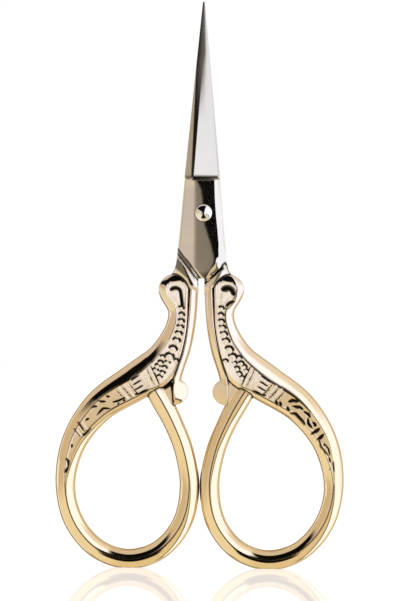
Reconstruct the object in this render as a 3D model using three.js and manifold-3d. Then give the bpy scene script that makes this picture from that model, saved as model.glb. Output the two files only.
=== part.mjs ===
// Embroidery scissors, closed, standing on their finger bows.
// Two forged halves cross at a domed rivet. The back half is the front half turned about the long axis.
// Millimetres: X across the bows, Y through the thickness with the front at -Y, Z up to the tips.

import * as THREE from 'three';
import { mergeVertices } from 'three/addons/utils/BufferGeometryUtils.js';
import Module from 'manifold-3d';

const wasm = await Module();
wasm.setup();

// Finger bow: an oval ring whose lower half is half an ellipse, with a small flat under it
const RING_WIDTH = 4.0;
const RING_DEPTH = 3.3;
const BOW_HALF_WIDTH = 12.4;
const BOW_DROP = 14.5;
const BOW_LEAN = 0.45;
const BOW_GAP = 0.24;
const CREST_FLAT = 0.3;
const FOOT_FLAT = 0.3;

// Shank and wing: the ornamented strip from the scroll to the bow
const CROTCH_Z = 58.7;
const HANDLE_DEPTH = 3.3;
const SCROLL_WIDTH = 6.2;
const NECK_WIDTH = 4.2;
const WING_WIDTH = 8.4;
const PANEL_RECESS = 0.3;
const PANEL_STEP = 0.35;

// Ornament that stands on the floor of the panel
const RELIEF = 0.36;
const BEAD_COUNT = 8;
const FIRST_BEAD = 0.86;
const LAST_BEAD = 1.44;
const RIB_WIDTH = 0.7;
const BAR_WIDTH = 0.75;
const COMMA_WIDTH = 2.0;
const COMMA_TAIL = 0.4;

// Where the ornament stands: spans along the strip from the scroll's top, and shares of the panel's half width
const COMMA_PLACES = { head: 0.7, tail: 1.8 };
const COMMA_SHARES = { head: 0.25, tail: -0.05 };
const COMMA_BLUNT = 0.02;
const COMMA_ROUND = 0.35;
const BEAD_PLACES = { first: 1.94, last: 4.43 };
const RIB_PLACES = [5.4, 5.7, 6.3, 6.43];
const RIB_REACH = 0.95;
const BAR_PLACES = { upper: 5.87, lower: 6.17 };
const BAR_SHARES = [0.62, 0.02, -0.58];

// Plain band along the inner side of the shank, and the knob at its foot
const BAND_WIDTH = 1.75;
const BAND_DEPTH = 3.1;
const SHANK_GAP = 1.2;
const KNOB_WIDTH = 4.6;
const KNOB_HEIGHT = 5.2;
const KNOB_DEPTH = 3.8;

// Boss and blade, measured up from the crotch between the shanks
const PIVOT_RISE = 12.3;
const PLUNGE_RISE = 7.2;
const BLADE_LENGTH = 35.0;
const PIVOT_X = 0.3;
const BOSS_DEPTH = 2.0;
const BOSS_FLARE = 0.85;
const LAP_GAP = 0.1;
const LAP_FOOT_X = 0.35;
const LAP_FOOT_DROP = 0.4;
const SHOULDER_HALF_WIDTH = 4.75;
const PLUNGE_HALF_WIDTH = 3.55;
const TIP_HALF_WIDTH = 0.22;
const SHOULDER_RISE = 5.4;
const SHOULDER_GAP = 0.3;
const PLUNGE_HEIGHT = 0.55;
const SPINE_DEPTH = 1.9;
const TIP_DEPTH = 0.6;
const SPINE_STRIP = 1.4;
const SPINE_LAND = 0.04;
const SPINE_BREAK = 0.03;
const WALL_WIDTH = 0.3;
const TIP_WALL_WIDTH = 1.7;
const GROUND_DEPTH = 1.3;
const EDGE_DEPTH = 0.25;
const EDGE_INSET = 0.45;
const BOSS_ROUND = 0.35;
const BOSS_CHAMFER_DEPTH = 0.95;

// Collar and root between the boss and the scroll
const COLLAR_DEPTH = 3.4;
const COLLAR_BEVEL = 0.4;
const ROOT_BEVEL = 0.32;
const ROOT_OVERLAP = 0.5;

// Rivet
const RIVET_RADIUS = 1.15;
const RIVET_HEAD_RADIUS = 1.7;
const RIVET_DOME = 0.42;
const HEAD_SEAT_DEPTH = 0.6;
const RUNNING_CLEARANCE = 0.05;
const HEAD_CLEARANCE = 0.1;

// Shares of the blade: where the spine strip ends, the most that the wall takes, and the depth at the tip
const STRIP_REACH = 0.64;
const WALL_SHARE = 0.6;
const GROUND_TIP_SHARE = 0.8;

// Facets
const RIM_STEPS = 4;
const BORE_FACETS = 36;
const BAND_FACETS = 12;
const BAND_STEPS = 3;
const KNOB_FACETS = 16;
const BEAD_FACETS = 8;
const COMMA_STEPS = 6;
const DOME_STEPS = 5;
const STEPS_PER_SPAN = 4;

// Places worked out from the sizes
const BOW_X = BOW_GAP / 2 + RING_WIDTH / 2 + BOW_HALF_WIDTH;
const BOW_Z = RING_WIDTH / 2 + BOW_DROP - FOOT_FLAT;
const BOW_REACH = BOW_X + BOW_HALF_WIDTH + RING_WIDTH / 2;
const KNOB_X = 0.1625 * BOW_REACH;
const KNOB_Z = 0.6 * CROTCH_Z;
const PIVOT_Z = CROTCH_Z + PIVOT_RISE;
const PLUNGE_Z = PIVOT_Z + PLUNGE_RISE;
const TIP_Z = PLUNGE_Z + BLADE_LENGTH;
const SHOULDER_Z = CROTCH_Z + SHOULDER_RISE;
const HALF_LAP = LAP_GAP / 2;
const BEYOND = 2 * BOW_REACH;

// A solid from a closed three.js geometry, whatever its seams
function solidOf(geometry) {
  const bare = geometry.clone();
  bare.deleteAttribute('normal');
  bare.deleteAttribute('uv');
  const merged = mergeVertices(bare, 1e-4);
  const corners = merged.index.array;
  const triangles = [];
  for (let i = 0; i < corners.length; i += 3) {
    const [a, b, c] = [corners[i], corners[i + 1], corners[i + 2]];
    if (a !== b && b !== c && c !== a) {
      triangles.push(a, b, c);
    }
  }
  const mesh = new wasm.Mesh({
    numProp: 3,
    vertProperties: Float32Array.from(merged.attributes.position.array),
    triVerts: Uint32Array.from(triangles),
  });
  return new wasm.Manifold(mesh);
}

// A three.js geometry from a solid
function geometryOf(solid) {
  const mesh = solid.getMesh();
  const geometry = new THREE.BufferGeometry();
  geometry.setAttribute('position', new THREE.BufferAttribute(Float32Array.from(mesh.vertProperties), 3));
  geometry.setIndex(new THREE.BufferAttribute(Uint32Array.from(mesh.triVerts), 1));
  geometry.computeVertexNormals();
  return geometry;
}

// Six times the volume inside a list of triangles, negative when their faces point inwards
function signedVolume(points, index) {
  let sum = 0;
  for (let i = 0; i < index.length; i += 3) {
    const cross = points[index[i + 1]].clone().cross(points[index[i + 2]]);
    sum += points[index[i]].dot(cross);
  }
  return sum;
}

// A closed solid through sections that all have the same number of points
function loft(sections) {
  const count = sections[0].length;
  const points = sections.flat();
  const index = [];
  for (let i = 0; i + 1 < sections.length; i += 1) {
    for (let j = 0; j < count; j += 1) {
      const a = i * count + j;
      const b = i * count + ((j + 1) % count);
      index.push(a, b, a + count);
      index.push(b, b + count, a + count);
    }
  }
  const capped = [
    { first: 0, turned: true },
    { first: (sections.length - 1) * count, turned: false },
  ];
  for (const { first, turned } of capped) {
    const centre = new THREE.Vector3();
    for (let j = 0; j < count; j += 1) {
      centre.addScaledVector(points[first + j], 1 / count);
    }
    const middle = points.push(centre) - 1;
    for (let j = 0; j < count; j += 1) {
      const a = first + j;
      const b = first + ((j + 1) % count);
      index.push(...(turned ? [b, a, middle] : [a, b, middle]));
    }
  }
  if (signedVolume(points, index) < 0) {
    index.reverse();
  }
  const geometry = new THREE.BufferGeometry();
  geometry.setFromPoints(points);
  geometry.setIndex(index);
  return solidOf(geometry);
}

// A plate with an outline in X and Z, between two depths, with its edges bevelled
function plate(outline, front, back, bevel) {
  const shape = new THREE.Shape(outline.map(([x, z]) => new THREE.Vector2(x, z)));
  const geometry = new THREE.ExtrudeGeometry(shape, {
    depth: back - front - 2 * bevel,
    bevelEnabled: bevel > 0,
    bevelThickness: bevel,
    bevelSize: bevel,
    bevelOffset: -bevel,
    bevelSegments: 1,
  });
  geometry.rotateX(Math.PI / 2);
  geometry.translate(0, back - bevel, 0);
  return solidOf(geometry);
}

// A round bar along Y between two depths
function bar(radius, front, back, x, z) {
  const geometry = new THREE.CylinderGeometry(radius, radius, back - front, BORE_FACETS);
  geometry.translate(x, (front + back) / 2, z);
  return solidOf(geometry);
}

// Smooth step from 0 to 1
function smooth(share) {
  const held = Math.min(Math.max(share, 0), 1);
  return held * held * (3 - 2 * held);
}

// Quarter-round rise from 0 to 1 over a length
function roundRise(distance, length) {
  const left = 1 - Math.min(distance / length, 1);
  return Math.sqrt(1 - left * left);
}

// One station of the ornamented strip: its centre in shares of the bow's reach and the crotch's height,
// its width, and the plain rims on each side of its panel as shares of that width
function panelStation(across, up, width, outerShare, innerShare) {
  return {
    x: across * BOW_REACH,
    z: up * CROTCH_Z,
    width,
    depth: HANDLE_DEPTH,
    outerRim: outerShare * width,
    innerRim: innerShare * width,
    recess: PANEL_RECESS,
  };
}

// One station of the plain bow, with an oval section
function ringStation(x, z, width) {
  return { x, z, width, depth: RING_DEPTH, outerRim: width / 2, innerRim: width / 2, recess: 0 };
}

// A station on the lower half of the bow, at an angle from the outer side
function bowStation(degrees) {
  const angle = THREE.MathUtils.degToRad(degrees);
  const x = BOW_X + BOW_HALF_WIDTH * Math.cos(angle) + BOW_LEAN * Math.sin(angle);
  const z = BOW_Z + BOW_DROP * Math.sin(angle);
  return ringStation(x, z, RING_WIDTH);
}

// From the top of the scroll, down the shank and the wing, and round the outer side of the bow.
// The last station lies past the end, so that the bow is smooth at its bottom.
const OUTER_STATIONS = [
  { ...panelStation(0.2023, 1, SCROLL_WIDTH, 0.226, 0.097), recess: 0 },
  panelStation(0.1867, 0.942, SCROLL_WIDTH, 0.242, 0.097),
  panelStation(0.159, 0.877, NECK_WIDTH, 0.429, 0.143),
  panelStation(0.166, 0.8245, 1.07 * NECK_WIDTH, 0.422, 0.133),
  panelStation(0.2144, 0.753, 0.714 * WING_WIDTH, 0.383, 0.117),
  panelStation(0.2974, 0.685, WING_WIDTH, 0.333, 0.119),
  panelStation(0.4288, 0.639, 0.917 * WING_WIDTH, 0.377, 0.156),
  panelStation(0.7002, 0.5477, 0.774 * WING_WIDTH, 0.369, 0.215),
  panelStation(0.8748, 0.4242, 0.607 * WING_WIDTH, 0.373, 0.333),
  bowStation(0),
  bowStation(-30),
  bowStation(-60),
  bowStation(-90),
  bowStation(-120),
];

// From the bottom of the bow, up its inner side and into the wing behind the knob.
// The first station lies before the start, so that the bow is smooth at its bottom.
const INNER_STATIONS = [
  bowStation(-60),
  bowStation(-90),
  bowStation(-120),
  bowStation(-150),
  bowStation(-180),
  ringStation(0.1106 * BOW_REACH, 0.4003 * CROTCH_Z, 0.975 * RING_WIDTH),
  ringStation(0.1833 * BOW_REACH, 0.4906 * CROTCH_Z, 0.975 * RING_WIDTH),
  ringStation(0.2559 * BOW_REACH, 0.5588 * CROTCH_Z, 1.1 * RING_WIDTH),
  ringStation(0.332 * BOW_REACH, 0.62 * CROTCH_Z, 1.15 * RING_WIDTH),
];

// A smooth strip through stations, which gives centre, direction and section sizes at any place along it
class Strip {
  constructor(stations) {
    this.stations = stations;
    this.spans = stations.length - 1;
    this.path = new THREE.CatmullRomCurve3(stations.map((s) => new THREE.Vector3(s.x, s.width, s.z)));
  }

  at(place) {
    const share = place / this.spans;
    const point = this.path.getPoint(share);
    const ahead = this.path.getTangent(share);
    const along = new THREE.Vector2(ahead.x, ahead.z).normalize();
    const index = Math.min(Math.floor(place), this.spans - 1);
    const [from, to] = [this.stations[index], this.stations[index + 1]];
    const weight = smooth(place - index);
    const mix = (key) => THREE.MathUtils.lerp(from[key], to[key], weight);
    return {
      x: point.x,
      z: point.z,
      width: point.y,
      depth: mix('depth'),
      outward: new THREE.Vector2(-along.y, along.x),
      outerRim: mix('outerRim'),
      innerRim: mix('innerRim'),
      recess: mix('recess'),
    };
  }
}

// Closed section of a strip: rounded rims, and between them a panel sunk below the rims, alike on both faces
function stripSection(place, widthShare, depthShare) {
  const half = (place.width * widthShare) / 2;
  const depth = (place.depth * depthShare) / 2;
  const room = 2 * half - Math.min(CREST_FLAT, half / 2);
  const squeeze = Math.min(1, room / (place.outerRim + place.innerRim));
  const outer = place.outerRim * squeeze;
  const inner = place.innerRim * squeeze;
  const step = Math.min(PANEL_STEP, (2 * half - outer - inner) / 3);
  const profile = [];
  for (let i = 0; i <= RIM_STEPS; i += 1) {
    const angle = (Math.PI / 2) * (i / RIM_STEPS);
    profile.push([half - outer + outer * Math.cos(angle), depth * Math.sin(angle)]);
  }
  profile.push([half - outer - step, depth - place.recess * depthShare]);
  profile.push([inner + step - half, depth - place.recess * depthShare]);
  for (let i = RIM_STEPS; i >= 0; i -= 1) {
    const angle = (Math.PI / 2) * (i / RIM_STEPS);
    profile.push([inner - half - inner * Math.cos(angle), depth * Math.sin(angle)]);
  }
  const corner = ([across, rise], side) => new THREE.Vector3(
    place.x + place.outward.x * across,
    side * rise,
    place.z + place.outward.y * across,
  );
  const front = profile.map((point) => corner(point, -1));
  const back = profile.slice(1, -1).reverse().map((point) => corner(point, 1));
  return [...front, ...back];
}

const OUTER = new Strip(OUTER_STATIONS);
const INNER = new Strip(INNER_STATIONS);

// Wing and outer half of the bow, with the scroll as its rounded upper end
function outerStrip() {
  const scrollLength = SCROLL_WIDTH / 2;
  const rise = OUTER_STATIONS[0].z - OUTER_STATIONS[1].z;
  const rounded = [0.03, 0.1, 0.2, 0.35, 0.55, 0.8];
  const regular = [];
  for (let i = STEPS_PER_SPAN; i <= (OUTER.spans - 1) * STEPS_PER_SPAN; i += 1) {
    regular.push(i / STEPS_PER_SPAN);
  }
  const sections = [...rounded, ...regular].map((place) => {
    const widthShare = roundRise(place * rise, scrollLength);
    const depthShare = roundRise(place * rise, OUTER_STATIONS[0].outerRim);
    return stripSection(OUTER.at(place), widthShare, depthShare);
  });
  return loft(sections);
}

// Inner half of the bow
function innerStrip() {
  const sections = [];
  for (let i = STEPS_PER_SPAN; i <= INNER.spans * STEPS_PER_SPAN; i += 1) {
    sections.push(stripSection(INNER.at(i / STEPS_PER_SPAN), 1, 1));
  }
  return loft(sections);
}

// A point on the floor of the front panel, at a place along the strip,
// and a share of the panel's half width towards its outer rim
function panelPoint(place, share) {
  const at = OUTER.at(place);
  const middle = (at.innerRim - at.outerRim) / 2;
  const half = (at.width - at.innerRim - at.outerRim) / 2;
  const across = middle + share * half;
  const floor = at.recess - at.depth / 2;
  return new THREE.Vector3(at.x + at.outward.x * across, floor, at.z + at.outward.y * across);
}

// A flattened bead on the panel
function bead(place, width) {
  const centre = panelPoint(place, 0);
  const geometry = new THREE.SphereGeometry(0.5, BEAD_FACETS, BEAD_FACETS - 2);
  geometry.scale(width, 2 * RELIEF, width);
  geometry.translate(centre.x, centre.y, centre.z);
  return solidOf(geometry);
}

// A half-round bar on the panel between two points of its floor
function panelBar(from, to, width) {
  const along = to.clone().sub(from).setY(0);
  const length = along.length();
  const inwards = new THREE.Vector3(0, 1, 0);
  along.normalize();
  const across = along.clone().cross(inwards);
  const geometry = new THREE.CylinderGeometry(0.5, 0.5, 1, BEAD_FACETS);
  geometry.scale(width, length, 2 * RELIEF);
  const middle = from.clone().add(to).multiplyScalar(0.5);
  geometry.applyMatrix4(new THREE.Matrix4().makeBasis(across, along, inwards).setPosition(middle));
  return solidOf(geometry);
}

// The comma in the scroll: a round head that tapers to a tail
function comma() {
  const sections = [];
  for (let i = 0; i <= COMMA_STEPS; i += 1) {
    const share = i / COMMA_STEPS;
    const place = THREE.MathUtils.lerp(COMMA_PLACES.head, COMMA_PLACES.tail, share);
    const centre = panelPoint(place, THREE.MathUtils.lerp(COMMA_SHARES.head, COMMA_SHARES.tail, share));
    const taper = roundRise(share + COMMA_BLUNT, COMMA_ROUND);
    const width = THREE.MathUtils.lerp(COMMA_WIDTH, COMMA_TAIL, share) * taper;
    const section = [];
    for (let j = 0; j < BEAD_FACETS; j += 1) {
      const angle = (2 * Math.PI * j) / BEAD_FACETS;
      const across = (width / 2) * Math.cos(angle);
      const rise = RELIEF * Math.sin(angle);
      section.push(new THREE.Vector3(centre.x + across, centre.y + rise, centre.z));
    }
    sections.push(section);
  }
  return loft(sections);
}

// Everything that stands on the panel, on both faces: comma, beads, two pairs of ribs, and bars between them
function ornament() {
  const solids = [comma()];
  for (let i = 0; i < BEAD_COUNT; i += 1) {
    const share = i / (BEAD_COUNT - 1);
    const width = THREE.MathUtils.lerp(FIRST_BEAD, LAST_BEAD, share);
    solids.push(bead(THREE.MathUtils.lerp(BEAD_PLACES.first, BEAD_PLACES.last, share), width));
  }
  for (const place of RIB_PLACES) {
    solids.push(panelBar(panelPoint(place, RIB_REACH), panelPoint(place, -RIB_REACH), RIB_WIDTH));
  }
  for (const share of BAR_SHARES) {
    solids.push(panelBar(panelPoint(BAR_PLACES.upper, share), panelPoint(BAR_PLACES.lower, share), BAR_WIDTH));
  }
  const front = solids.reduce((sum, solid) => sum.add(solid));
  return front.add(front.mirror([0, 1, 0]));
}

// Plain rounded band that runs down the inner side of the shank to the knob
function innerBand() {
  const top = SHANK_GAP / 2 + BAND_WIDTH / 2;
  const centres = [
    [top, 0.985 * CROTCH_Z],
    [1.03 * top, 0.932 * CROTCH_Z],
    [1.2 * top, 0.857 * CROTCH_Z],
    [1.56 * top, 0.79 * CROTCH_Z],
    [2.03 * top, 0.736 * CROTCH_Z],
    [2.64 * top, 0.69 * CROTCH_Z],
    [3.15 * top, 0.644 * CROTCH_Z],
    [KNOB_X, KNOB_Z],
  ];
  const path = new THREE.CatmullRomCurve3(centres.map(([x, z]) => new THREE.Vector3(x, 0, z)));
  const sections = path.getPoints((centres.length - 1) * BAND_STEPS).map((centre, i, all) => {
    const ahead = path.getTangent(i / (all.length - 1));
    const section = [];
    for (let j = 0; j < BAND_FACETS; j += 1) {
      const angle = (2 * Math.PI * j) / BAND_FACETS;
      const across = (BAND_WIDTH / 2) * Math.cos(angle);
      const rise = (BAND_DEPTH / 2) * Math.sin(angle);
      section.push(new THREE.Vector3(centre.x - ahead.z * across, rise, centre.z + ahead.x * across));
    }
    return section;
  });
  return loft(sections);
}

// Rounded knob where the band meets the bow
function knob() {
  const geometry = new THREE.SphereGeometry(0.5, KNOB_FACETS, KNOB_FACETS - 4);
  geometry.scale(KNOB_WIDTH, KNOB_DEPTH, KNOB_HEIGHT);
  geometry.translate(KNOB_X, 0, KNOB_Z);
  return solidOf(geometry);
}

// Half the width of the blade and boss at a height
function bladeHalfWidth(z) {
  if (z > PLUNGE_Z) {
    return THREE.MathUtils.mapLinear(z, PLUNGE_Z, TIP_Z, PLUNGE_HALF_WIDTH, TIP_HALF_WIDTH);
  }
  return THREE.MathUtils.mapLinear(z, PLUNGE_Z, SHOULDER_Z, PLUNGE_HALF_WIDTH, SHOULDER_HALF_WIDTH);
}

// Section of the ground blade: spine strip, wall of the grind, and the ground face down to the cutting edge
function bladeSection(z) {
  const share = (z - PLUNGE_Z) / BLADE_LENGTH;
  const half = bladeHalfWidth(z);
  const edge = half - EDGE_INSET * (1 - share);
  const spine = THREE.MathUtils.lerp(SPINE_DEPTH, TIP_DEPTH, share);
  const ground = THREE.MathUtils.lerp(GROUND_DEPTH, TIP_DEPTH * GROUND_TIP_SHARE, share);
  const strip = SPINE_STRIP * Math.max(1 - share / STRIP_REACH, 0) + SPINE_LAND;
  const widest = (half + edge - strip) * WALL_SHARE;
  const wall = Math.min(THREE.MathUtils.lerp(WALL_WIDTH, TIP_WALL_WIDTH, share), widest);
  const crease = -half + strip;
  const root = crease + wall;
  const middle = (root + edge) / 2;
  const rise = (ground + EDGE_DEPTH) / 2;
  const profile = [
    [-half, HALF_LAP],
    [-half, spine - SPINE_BREAK],
    [-half + SPINE_BREAK, spine],
    [crease, spine],
    [root, ground],
    [middle, rise],
    [edge, EDGE_DEPTH],
    [edge, HALF_LAP],
  ];
  return profile.map(([x, depth]) => new THREE.Vector3(x, -depth, z));
}

// Section of the boss: flat face, small rounding on the spine side, wide chamfer on the other
function bossSection(z, right, crease) {
  const half = bladeHalfWidth(z);
  const profile = [
    [-half, HALF_LAP],
    [-half, BOSS_DEPTH - BOSS_ROUND],
    [-half + BOSS_ROUND, BOSS_DEPTH],
    [-half + SPINE_STRIP, BOSS_DEPTH],
    [-half + SPINE_STRIP + WALL_WIDTH, BOSS_DEPTH],
    [crease, BOSS_DEPTH],
    [right, BOSS_DEPTH - BOSS_CHAMFER_DEPTH],
    [right, HALF_LAP],
  ];
  return profile.map(([x, depth]) => new THREE.Vector3(x, -depth, z));
}

// A point near the shoulder, in shares of the shoulder's half width and of its rise above the crotch
function shoulderPoint(across, up) {
  return [across * SHOULDER_HALF_WIDTH, CROTCH_Z + up * SHOULDER_RISE];
}

// Blade and boss in one, before the boss is cut along the shoulder
function bladeAndBoss() {
  const plunge = PLUNGE_Z - PLUNGE_HEIGHT;
  const flared = [
    { up: -0.15, flare: 1, crease: 0.126 },
    { up: 0.09, flare: 0.8, crease: 0.274 },
    { up: 0.46, flare: 0.35, crease: 0.558 },
    { up: 1, flare: 0, crease: 0.642 },
  ];
  const sections = flared.map(({ up, flare, crease }) => {
    const [x, z] = shoulderPoint(crease, up);
    return bossSection(z, SHOULDER_HALF_WIDTH + flare * BOSS_FLARE, x);
  });
  sections.push(bossSection(PIVOT_Z, bladeHalfWidth(PIVOT_Z), 0.579 * SHOULDER_HALF_WIDTH));
  sections.push(bossSection(plunge, bladeHalfWidth(plunge), 0.484 * SHOULDER_HALF_WIDTH));
  for (const share of [0, 0.12, 0.25, 0.38, 0.5, 0.6, 0.68, 0.8, 0.9, 1]) {
    sections.push(bladeSection(PLUNGE_Z + share * BLADE_LENGTH));
  }
  return loft(sections);
}

// The sloping lap edge of the boss, from the crotch up to the spine side
const LAP_FOOT = [-LAP_FOOT_X, CROTCH_Z - LAP_FOOT_DROP];
const LAP_TOP = shoulderPoint(-1.01, 1);

// The two ends of the lap edge, moved square to it away from the boss and drawn out at both ends
function lapEdge(shift, past) {
  const edge = new THREE.Vector2(LAP_TOP[0] - LAP_FOOT[0], LAP_TOP[1] - LAP_FOOT[1]).normalize();
  const aside = new THREE.Vector2(-edge.y, edge.x).multiplyScalar(shift);
  const foot = [LAP_FOOT[0] + aside.x - edge.x * past, LAP_FOOT[1] + aside.y - edge.y * past];
  const top = [LAP_TOP[0] + aside.x + edge.x * past, LAP_TOP[1] + aside.y + edge.y * past];
  return { foot, top };
}

// Everything beyond the lap edge, which is cut off the boss
function belowLap() {
  const { foot, top } = lapEdge(0, SHOULDER_RISE / 2);
  const outline = [foot, [-BEYOND, foot[1]], [-BEYOND, top[1]], top];
  return plate(outline, -BEYOND, BEYOND, 0);
}

// Thick root of the shank behind the lap plane, up to the other half's lap edge
function root() {
  const { foot, top } = lapEdge(SHOULDER_GAP, -SHOULDER_GAP);
  const outline = [
    [SHANK_GAP / 2, CROTCH_Z - 0.65 * SHOULDER_RISE],
    [SHANK_GAP / 2, foot[1] - SHOULDER_GAP],
    [-foot[0], foot[1]],
    [-top[0], top[1]],
    shoulderPoint(1.02, 0.63),
    shoulderPoint(1.13, 0.2),
    shoulderPoint(1.34, -0.09),
    shoulderPoint(0.88, -0.65),
  ];
  return plate(outline, -HALF_LAP - ROOT_OVERLAP, COLLAR_DEPTH / 2, ROOT_BEVEL);
}

// Sloping collar across the shank, between two grooves
function collar() {
  const outline = [
    [SHANK_GAP / 2, CROTCH_Z - 0.78 * SHOULDER_RISE],
    [SHANK_GAP / 2, CROTCH_Z - 0.33 * SHOULDER_RISE],
    shoulderPoint(0.263, -0.176),
    shoulderPoint(0.947, 0.389),
    shoulderPoint(1.116, 0.241),
    shoulderPoint(1.21, 0.037),
    shoulderPoint(1.03, -0.148),
    shoulderPoint(0.4, -0.63),
  ];
  return plate(outline, -COLLAR_DEPTH / 2, COLLAR_DEPTH / 2, COLLAR_BEVEL);
}

// One half without its pivot hole, cut flat under the bow
function half() {
  const blade = bladeAndBoss().subtract(belowLap());
  const shank = outerStrip().add(innerStrip()).add(innerBand()).add(knob()).add(ornament());
  const whole = shank.add(collar()).add(root()).add(blade);
  return whole.trimByPlane([0, 0, 1], 0);
}

// Pivot hole with a seat for the rivet's head
function pivotHole(x) {
  const hole = bar(RIVET_RADIUS + RUNNING_CLEARANCE, -BEYOND, BEYOND, x, PIVOT_Z);
  const seat = bar(RIVET_HEAD_RADIUS + HEAD_CLEARANCE, -BEYOND, HEAD_SEAT_DEPTH - BOSS_DEPTH, x, PIVOT_Z);
  return hole.add(seat);
}

// Rivet with a low dome at each end
function rivet() {
  const seat = BOSS_DEPTH - HEAD_SEAT_DEPTH + HEAD_CLEARANCE / 2;
  const profile = [];
  const dome = [];
  for (let i = 0; i <= DOME_STEPS; i += 1) {
    const angle = (Math.PI / 2) * (i / DOME_STEPS);
    dome.push([RIVET_HEAD_RADIUS * Math.sin(angle), BOSS_DEPTH + RIVET_DOME * Math.cos(angle)]);
  }
  const frontHalf = [...dome, [RIVET_HEAD_RADIUS, seat], [RIVET_RADIUS, seat]];
  for (const [radius, rise] of frontHalf) {
    profile.push(new THREE.Vector2(radius, -rise));
  }
  for (const [radius, rise] of frontHalf.reverse()) {
    profile.push(new THREE.Vector2(radius, rise));
  }
  const geometry = new THREE.LatheGeometry(profile, BORE_FACETS);
  geometry.translate(PIVOT_X, 0, PIVOT_Z);
  return solidOf(geometry);
}

// Finishes of the two platings
const steel = { color: 0xb9b2aa, metalness: 1, roughness: 0.22 };
const gold = { color: 0xe3c48b, metalness: 1, roughness: 0.18 };

// A mesh with its node name and finish
function named(name, solid, finish) {
  const mesh = new THREE.Mesh(geometryOf(solid), new THREE.MeshStandardMaterial(finish));
  mesh.name = name;
  return mesh;
}

const scissors = new THREE.Group();
const blank = half();
scissors.add(named('front_half', blank.subtract(pivotHole(PIVOT_X)), gold));

const backHalf = named('back_half', blank.subtract(pivotHole(-PIVOT_X)), gold);
backHalf.rotation.z = Math.PI;
scissors.add(backHalf);

scissors.add(named('pivot_rivet', rivet(), steel));

export default scissors;
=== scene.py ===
"""Embroidery scissors: two forged and plated halves that cross at a domed rivet, in a white studio.

Sizes are in millimetres, X across the bows, Y through the thickness with the front at -Y, Z up to the tips.
"""

import logging
import math
from dataclasses import dataclass, field
from enum import Enum
from typing import Any, Callable, Optional, Sequence, Union

import bpy
import numpy as np
from mathutils import Matrix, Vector
from mathutils.kdtree import KDTree


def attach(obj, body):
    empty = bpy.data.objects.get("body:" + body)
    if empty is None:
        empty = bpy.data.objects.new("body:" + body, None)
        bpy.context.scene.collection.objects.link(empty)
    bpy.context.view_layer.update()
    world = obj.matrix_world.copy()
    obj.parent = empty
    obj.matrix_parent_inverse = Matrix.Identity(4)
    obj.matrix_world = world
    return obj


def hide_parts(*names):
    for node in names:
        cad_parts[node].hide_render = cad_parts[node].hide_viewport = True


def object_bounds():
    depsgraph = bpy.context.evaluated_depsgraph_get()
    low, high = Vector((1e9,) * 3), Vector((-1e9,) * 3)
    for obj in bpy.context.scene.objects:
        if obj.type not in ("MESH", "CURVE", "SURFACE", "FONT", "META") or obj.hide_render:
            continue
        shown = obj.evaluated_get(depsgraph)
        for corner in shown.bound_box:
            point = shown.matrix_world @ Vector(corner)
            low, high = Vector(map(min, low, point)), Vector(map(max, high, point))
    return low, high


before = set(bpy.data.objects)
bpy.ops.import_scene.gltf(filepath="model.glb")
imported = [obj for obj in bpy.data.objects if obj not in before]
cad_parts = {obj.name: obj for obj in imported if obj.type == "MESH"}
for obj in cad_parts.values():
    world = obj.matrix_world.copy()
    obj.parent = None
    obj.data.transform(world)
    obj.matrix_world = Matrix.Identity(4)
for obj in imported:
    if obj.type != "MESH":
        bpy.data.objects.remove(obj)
CAD_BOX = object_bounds()

MM = 0.001
BEYOND = 60.0
LOG = logging.getLogger("embroidery_scissors")

Point = tuple[float, float]
Line = tuple[Point, ...]
Face = tuple[int, ...]
Size = tuple[float, float, float]
Rgb = tuple[float, float, float]
Paint = Union[bpy.types.NodeSocket, Rgb]
Value = Union["Signal", float]
Depths = tuple[Callable[[np.ndarray], np.ndarray], ...]


class Side(Enum):
    """The two faces of a half, by the sign of their Y."""

    FRONT = -1
    BACK = 1


class Join(Enum):
    """Ways to combine two closed bodies."""

    UNION = "UNION"
    DIFFERENCE = "DIFFERENCE"


class Stud(Enum):
    """Shapes that stand on the panel."""

    BEAD = "GeometryNodeMeshUVSphere"
    BAR = "GeometryNodeMeshCylinder"


class Plating(Enum):
    """The record's material slots."""

    GOLD = "gold_plated_steel"
    NICKEL = "nickel_plated_steel"


def smooth(share: np.ndarray) -> np.ndarray:
    """Smooth step from 0 to 1."""
    held = np.clip(share, 0.0, 1.0)
    return held * held * (3.0 - 2.0 * held)


def round_rise(distance: np.ndarray, length: float) -> np.ndarray:
    """Quarter-round rise from 0 to 1 over a length."""
    left = 1.0 - np.minimum(distance / length, 1.0)
    return np.sqrt(1.0 - left * left)


def soft_line(distance: np.ndarray, reach: Union[np.ndarray, float]) -> np.ndarray:
    """A drawn line with soft edges: 1 up to half the reach away from it, 0 from one and a half."""
    return smooth(1.5 - distance / reach)


def through(places: np.ndarray, knots: Line) -> np.ndarray:
    """Smooth curve through knots.

    Args:
        places: Where to read the curve.
        knots: Places and values in order.

    Returns:
        The values.
    """
    where, values = np.array(knots).T
    slopes = np.gradient(values, where)
    held = np.clip(places, where[0], where[-1])
    span = np.clip(np.searchsorted(where, held) - 1, 0, len(where) - 2)
    run = where[span + 1] - where[span]
    t = (held - where[span]) / run
    start = values[span] + t * run * slopes[span]
    end = values[span + 1] - (1 - t) * run * slopes[span + 1]
    return start + (end - start) * t * t * (3 - 2 * t)


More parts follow.
